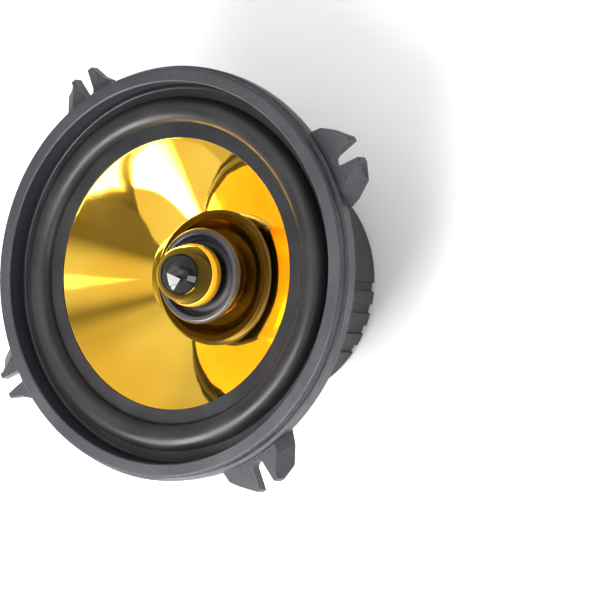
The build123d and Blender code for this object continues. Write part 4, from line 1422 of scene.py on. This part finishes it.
@dataclass(frozen=True)
class Studio:
    """Pale floor, soft lights and the camera."""

    panels: tuple[Panel, ...] = (
        Panel("wall_panel", FAR_EDGE + LONG_EDGE, tuple((h, -255.0) for h, _ in FAR_EDGE + LONG_EDGE), 1.0),
        Panel("dark_frame", ((-160.0, 100.0), (-60.0, 110.0), (60.0, 125.0)),
              ((-160.0, 0.0), (-60.0, 40.0), (60.0, 60.0)), 0.17, 356.0),
        Panel("hot_window", ((-230.0, -5.0), (-184.0, 11.0), (-132.0, 29.0), (-79.0, 48.0), (-58.0, 54.5),
                             (-33.0, 61.5), (-4.0, 70.5)),
              ((-230.0, -110.0), (-184.0, -80.0), (-132.0, -38.0), (-79.0, 10.0), (-58.0, 29.0),
               (-33.0, 48.0), (-4.0, 70.0)), 19.0, 345.0, (-215.0, -140.0), 1.0),
        Panel("high_window", ((-260.0, 125.0), (-160.0, 160.0), (-70.0, 190.0), (-40.0, 200.0),
                              (-20.0, 212.0), (10.0, 240.0), (60.0, 300.0)),
              ((-220.0, 5.0), (-120.0, 40.0), (-31.0, 71.0), (6.0, 83.0), (23.0, 90.0), (70.0, 132.0),
               (140.0, 200.0)), 17.0),
    )
    softboxes: tuple[Softbox, ...] = (
        Softbox("overhead", 60.0, 80.0, 1.3, 1.1, 1.1, 1.3),
        Softbox("side", -6.0, 20.0, 0.55, 0.22, 0.3, 5.0),
    )
    lobes: tuple[Lobe, ...] = (
        Lobe(-8.0, 50.0, 37.0, 52.0, -0.47),
        Lobe(22.0, 52.0, 0.0, 23.0, 0.72),
        Lobe(114.0, 29.0, 8.0, 34.0, 0.2),
        Lobe(127.0, 59.0, 10.0, 26.0, 1.0),
        Lobe(-105.0, 62.0, 8.0, 20.0, 0.9),
    )
    base_level: float = 0.7
    camera_place: tuple[float, float, float] = (0.3627, 0.0671, 0.6096)
    forward: tuple[float, float, float] = (-0.49609, -0.09905, -0.86256)
    up: tuple[float, float, float] = (-0.26455, 0.96343, 0.04152)
    lens: float = 122.0

    def world(self) -> None:
        """Even pale surroundings with the soft patches added."""
        world = bpy.data.worlds.new("room")
        bpy.context.scene.world = world
        world.use_nodes = True
        world.node_tree.nodes.clear()
        tree = Tree(world.node_tree)
        where = tree.add("TexCoord").outputs["Generated"]
        level = self.base_level
        for lobe in self.lobes:
            level = tree.math("ADD", level, lobe.level(tree, where))
        back = tree.add("Background", {"Color": (1.0, 1.0, 1.0, 1.0), "Strength": level})
        output = tree.add("OutputWorld")
        tree.tree.links.new(back.outputs[0], output.inputs["Surface"])

    def floor(self) -> None:
        """A wide pale floor just under the speaker: a grid of points at one height."""
        across = np.linspace(-4000, 4000, 9)
        x, y = np.meshgrid(across, across, indexing="ij")
        points = np.stack([x, y, np.full_like(x, -0.05)], -1)
        floor = mesh_piece("floor", [Patch(points, close_columns=False)])
        paint = bpy.data.materials.new("floor_paint")
        paint.use_nodes = True
        tree = Tree(paint.node_tree)
        shader = paint.node_tree.nodes["Principled BSDF"]
        where = tree.add("TexCoord").outputs["Object"]
        tone = tree.mix(tree.noise(where, 3.0, 3.0), (0.86, 0.86, 0.86, 1.0), (0.9, 0.9, 0.9, 1.0))
        Finish.feed(tree, shader, Base_Color=tone, Roughness=0.55)
        floor.data.materials.append(paint)

    def camera(self) -> None:
        """Puts the camera at its place, looking along `forward` with `up` upright."""
        forward = Vector(self.forward).normalized()
        up = Vector(self.up)
        up = (up - forward * up.dot(forward)).normalized()
        right = forward.cross(up)
        data = bpy.data.cameras.new("camera")
        data.lens = self.lens
        data.sensor_width = 36.0
        data.clip_start, data.clip_end = 0.01, 50.0
        camera = bpy.data.objects.new("camera", data)
        turn = Matrix((right, up, -forward)).transposed().to_4x4()
        camera.matrix_world = Matrix.Translation(Vector(self.camera_place)) @ turn
        bpy.context.scene.collection.objects.link(camera)
        bpy.context.scene.camera = camera

    def build(self) -> None:
        """Sets up the whole studio."""
        self.camera()
        self.world()
        self.floor()
        for light in (*self.panels, *self.softboxes):
            light.light()
        bpy.context.scene.view_settings.view_transform = "Standard"


def main() -> None:
    """Builds the studio, then each sub-assembly in order, and reports each piece."""
    logging.basicConfig(level=logging.INFO)
    Studio().build()
    wardrobe = Wardrobe()
    wardrobe.dress_frame()
    for assembly in (Suspension(), ConeAssembly(), Tweeter(), Boot(), Leads()):
        for piece in assembly.build(wardrobe):
            LOG.info("%s: %d faces", piece.name, len(piece.data.polygons))


if __name__ == "__main__":
    main()
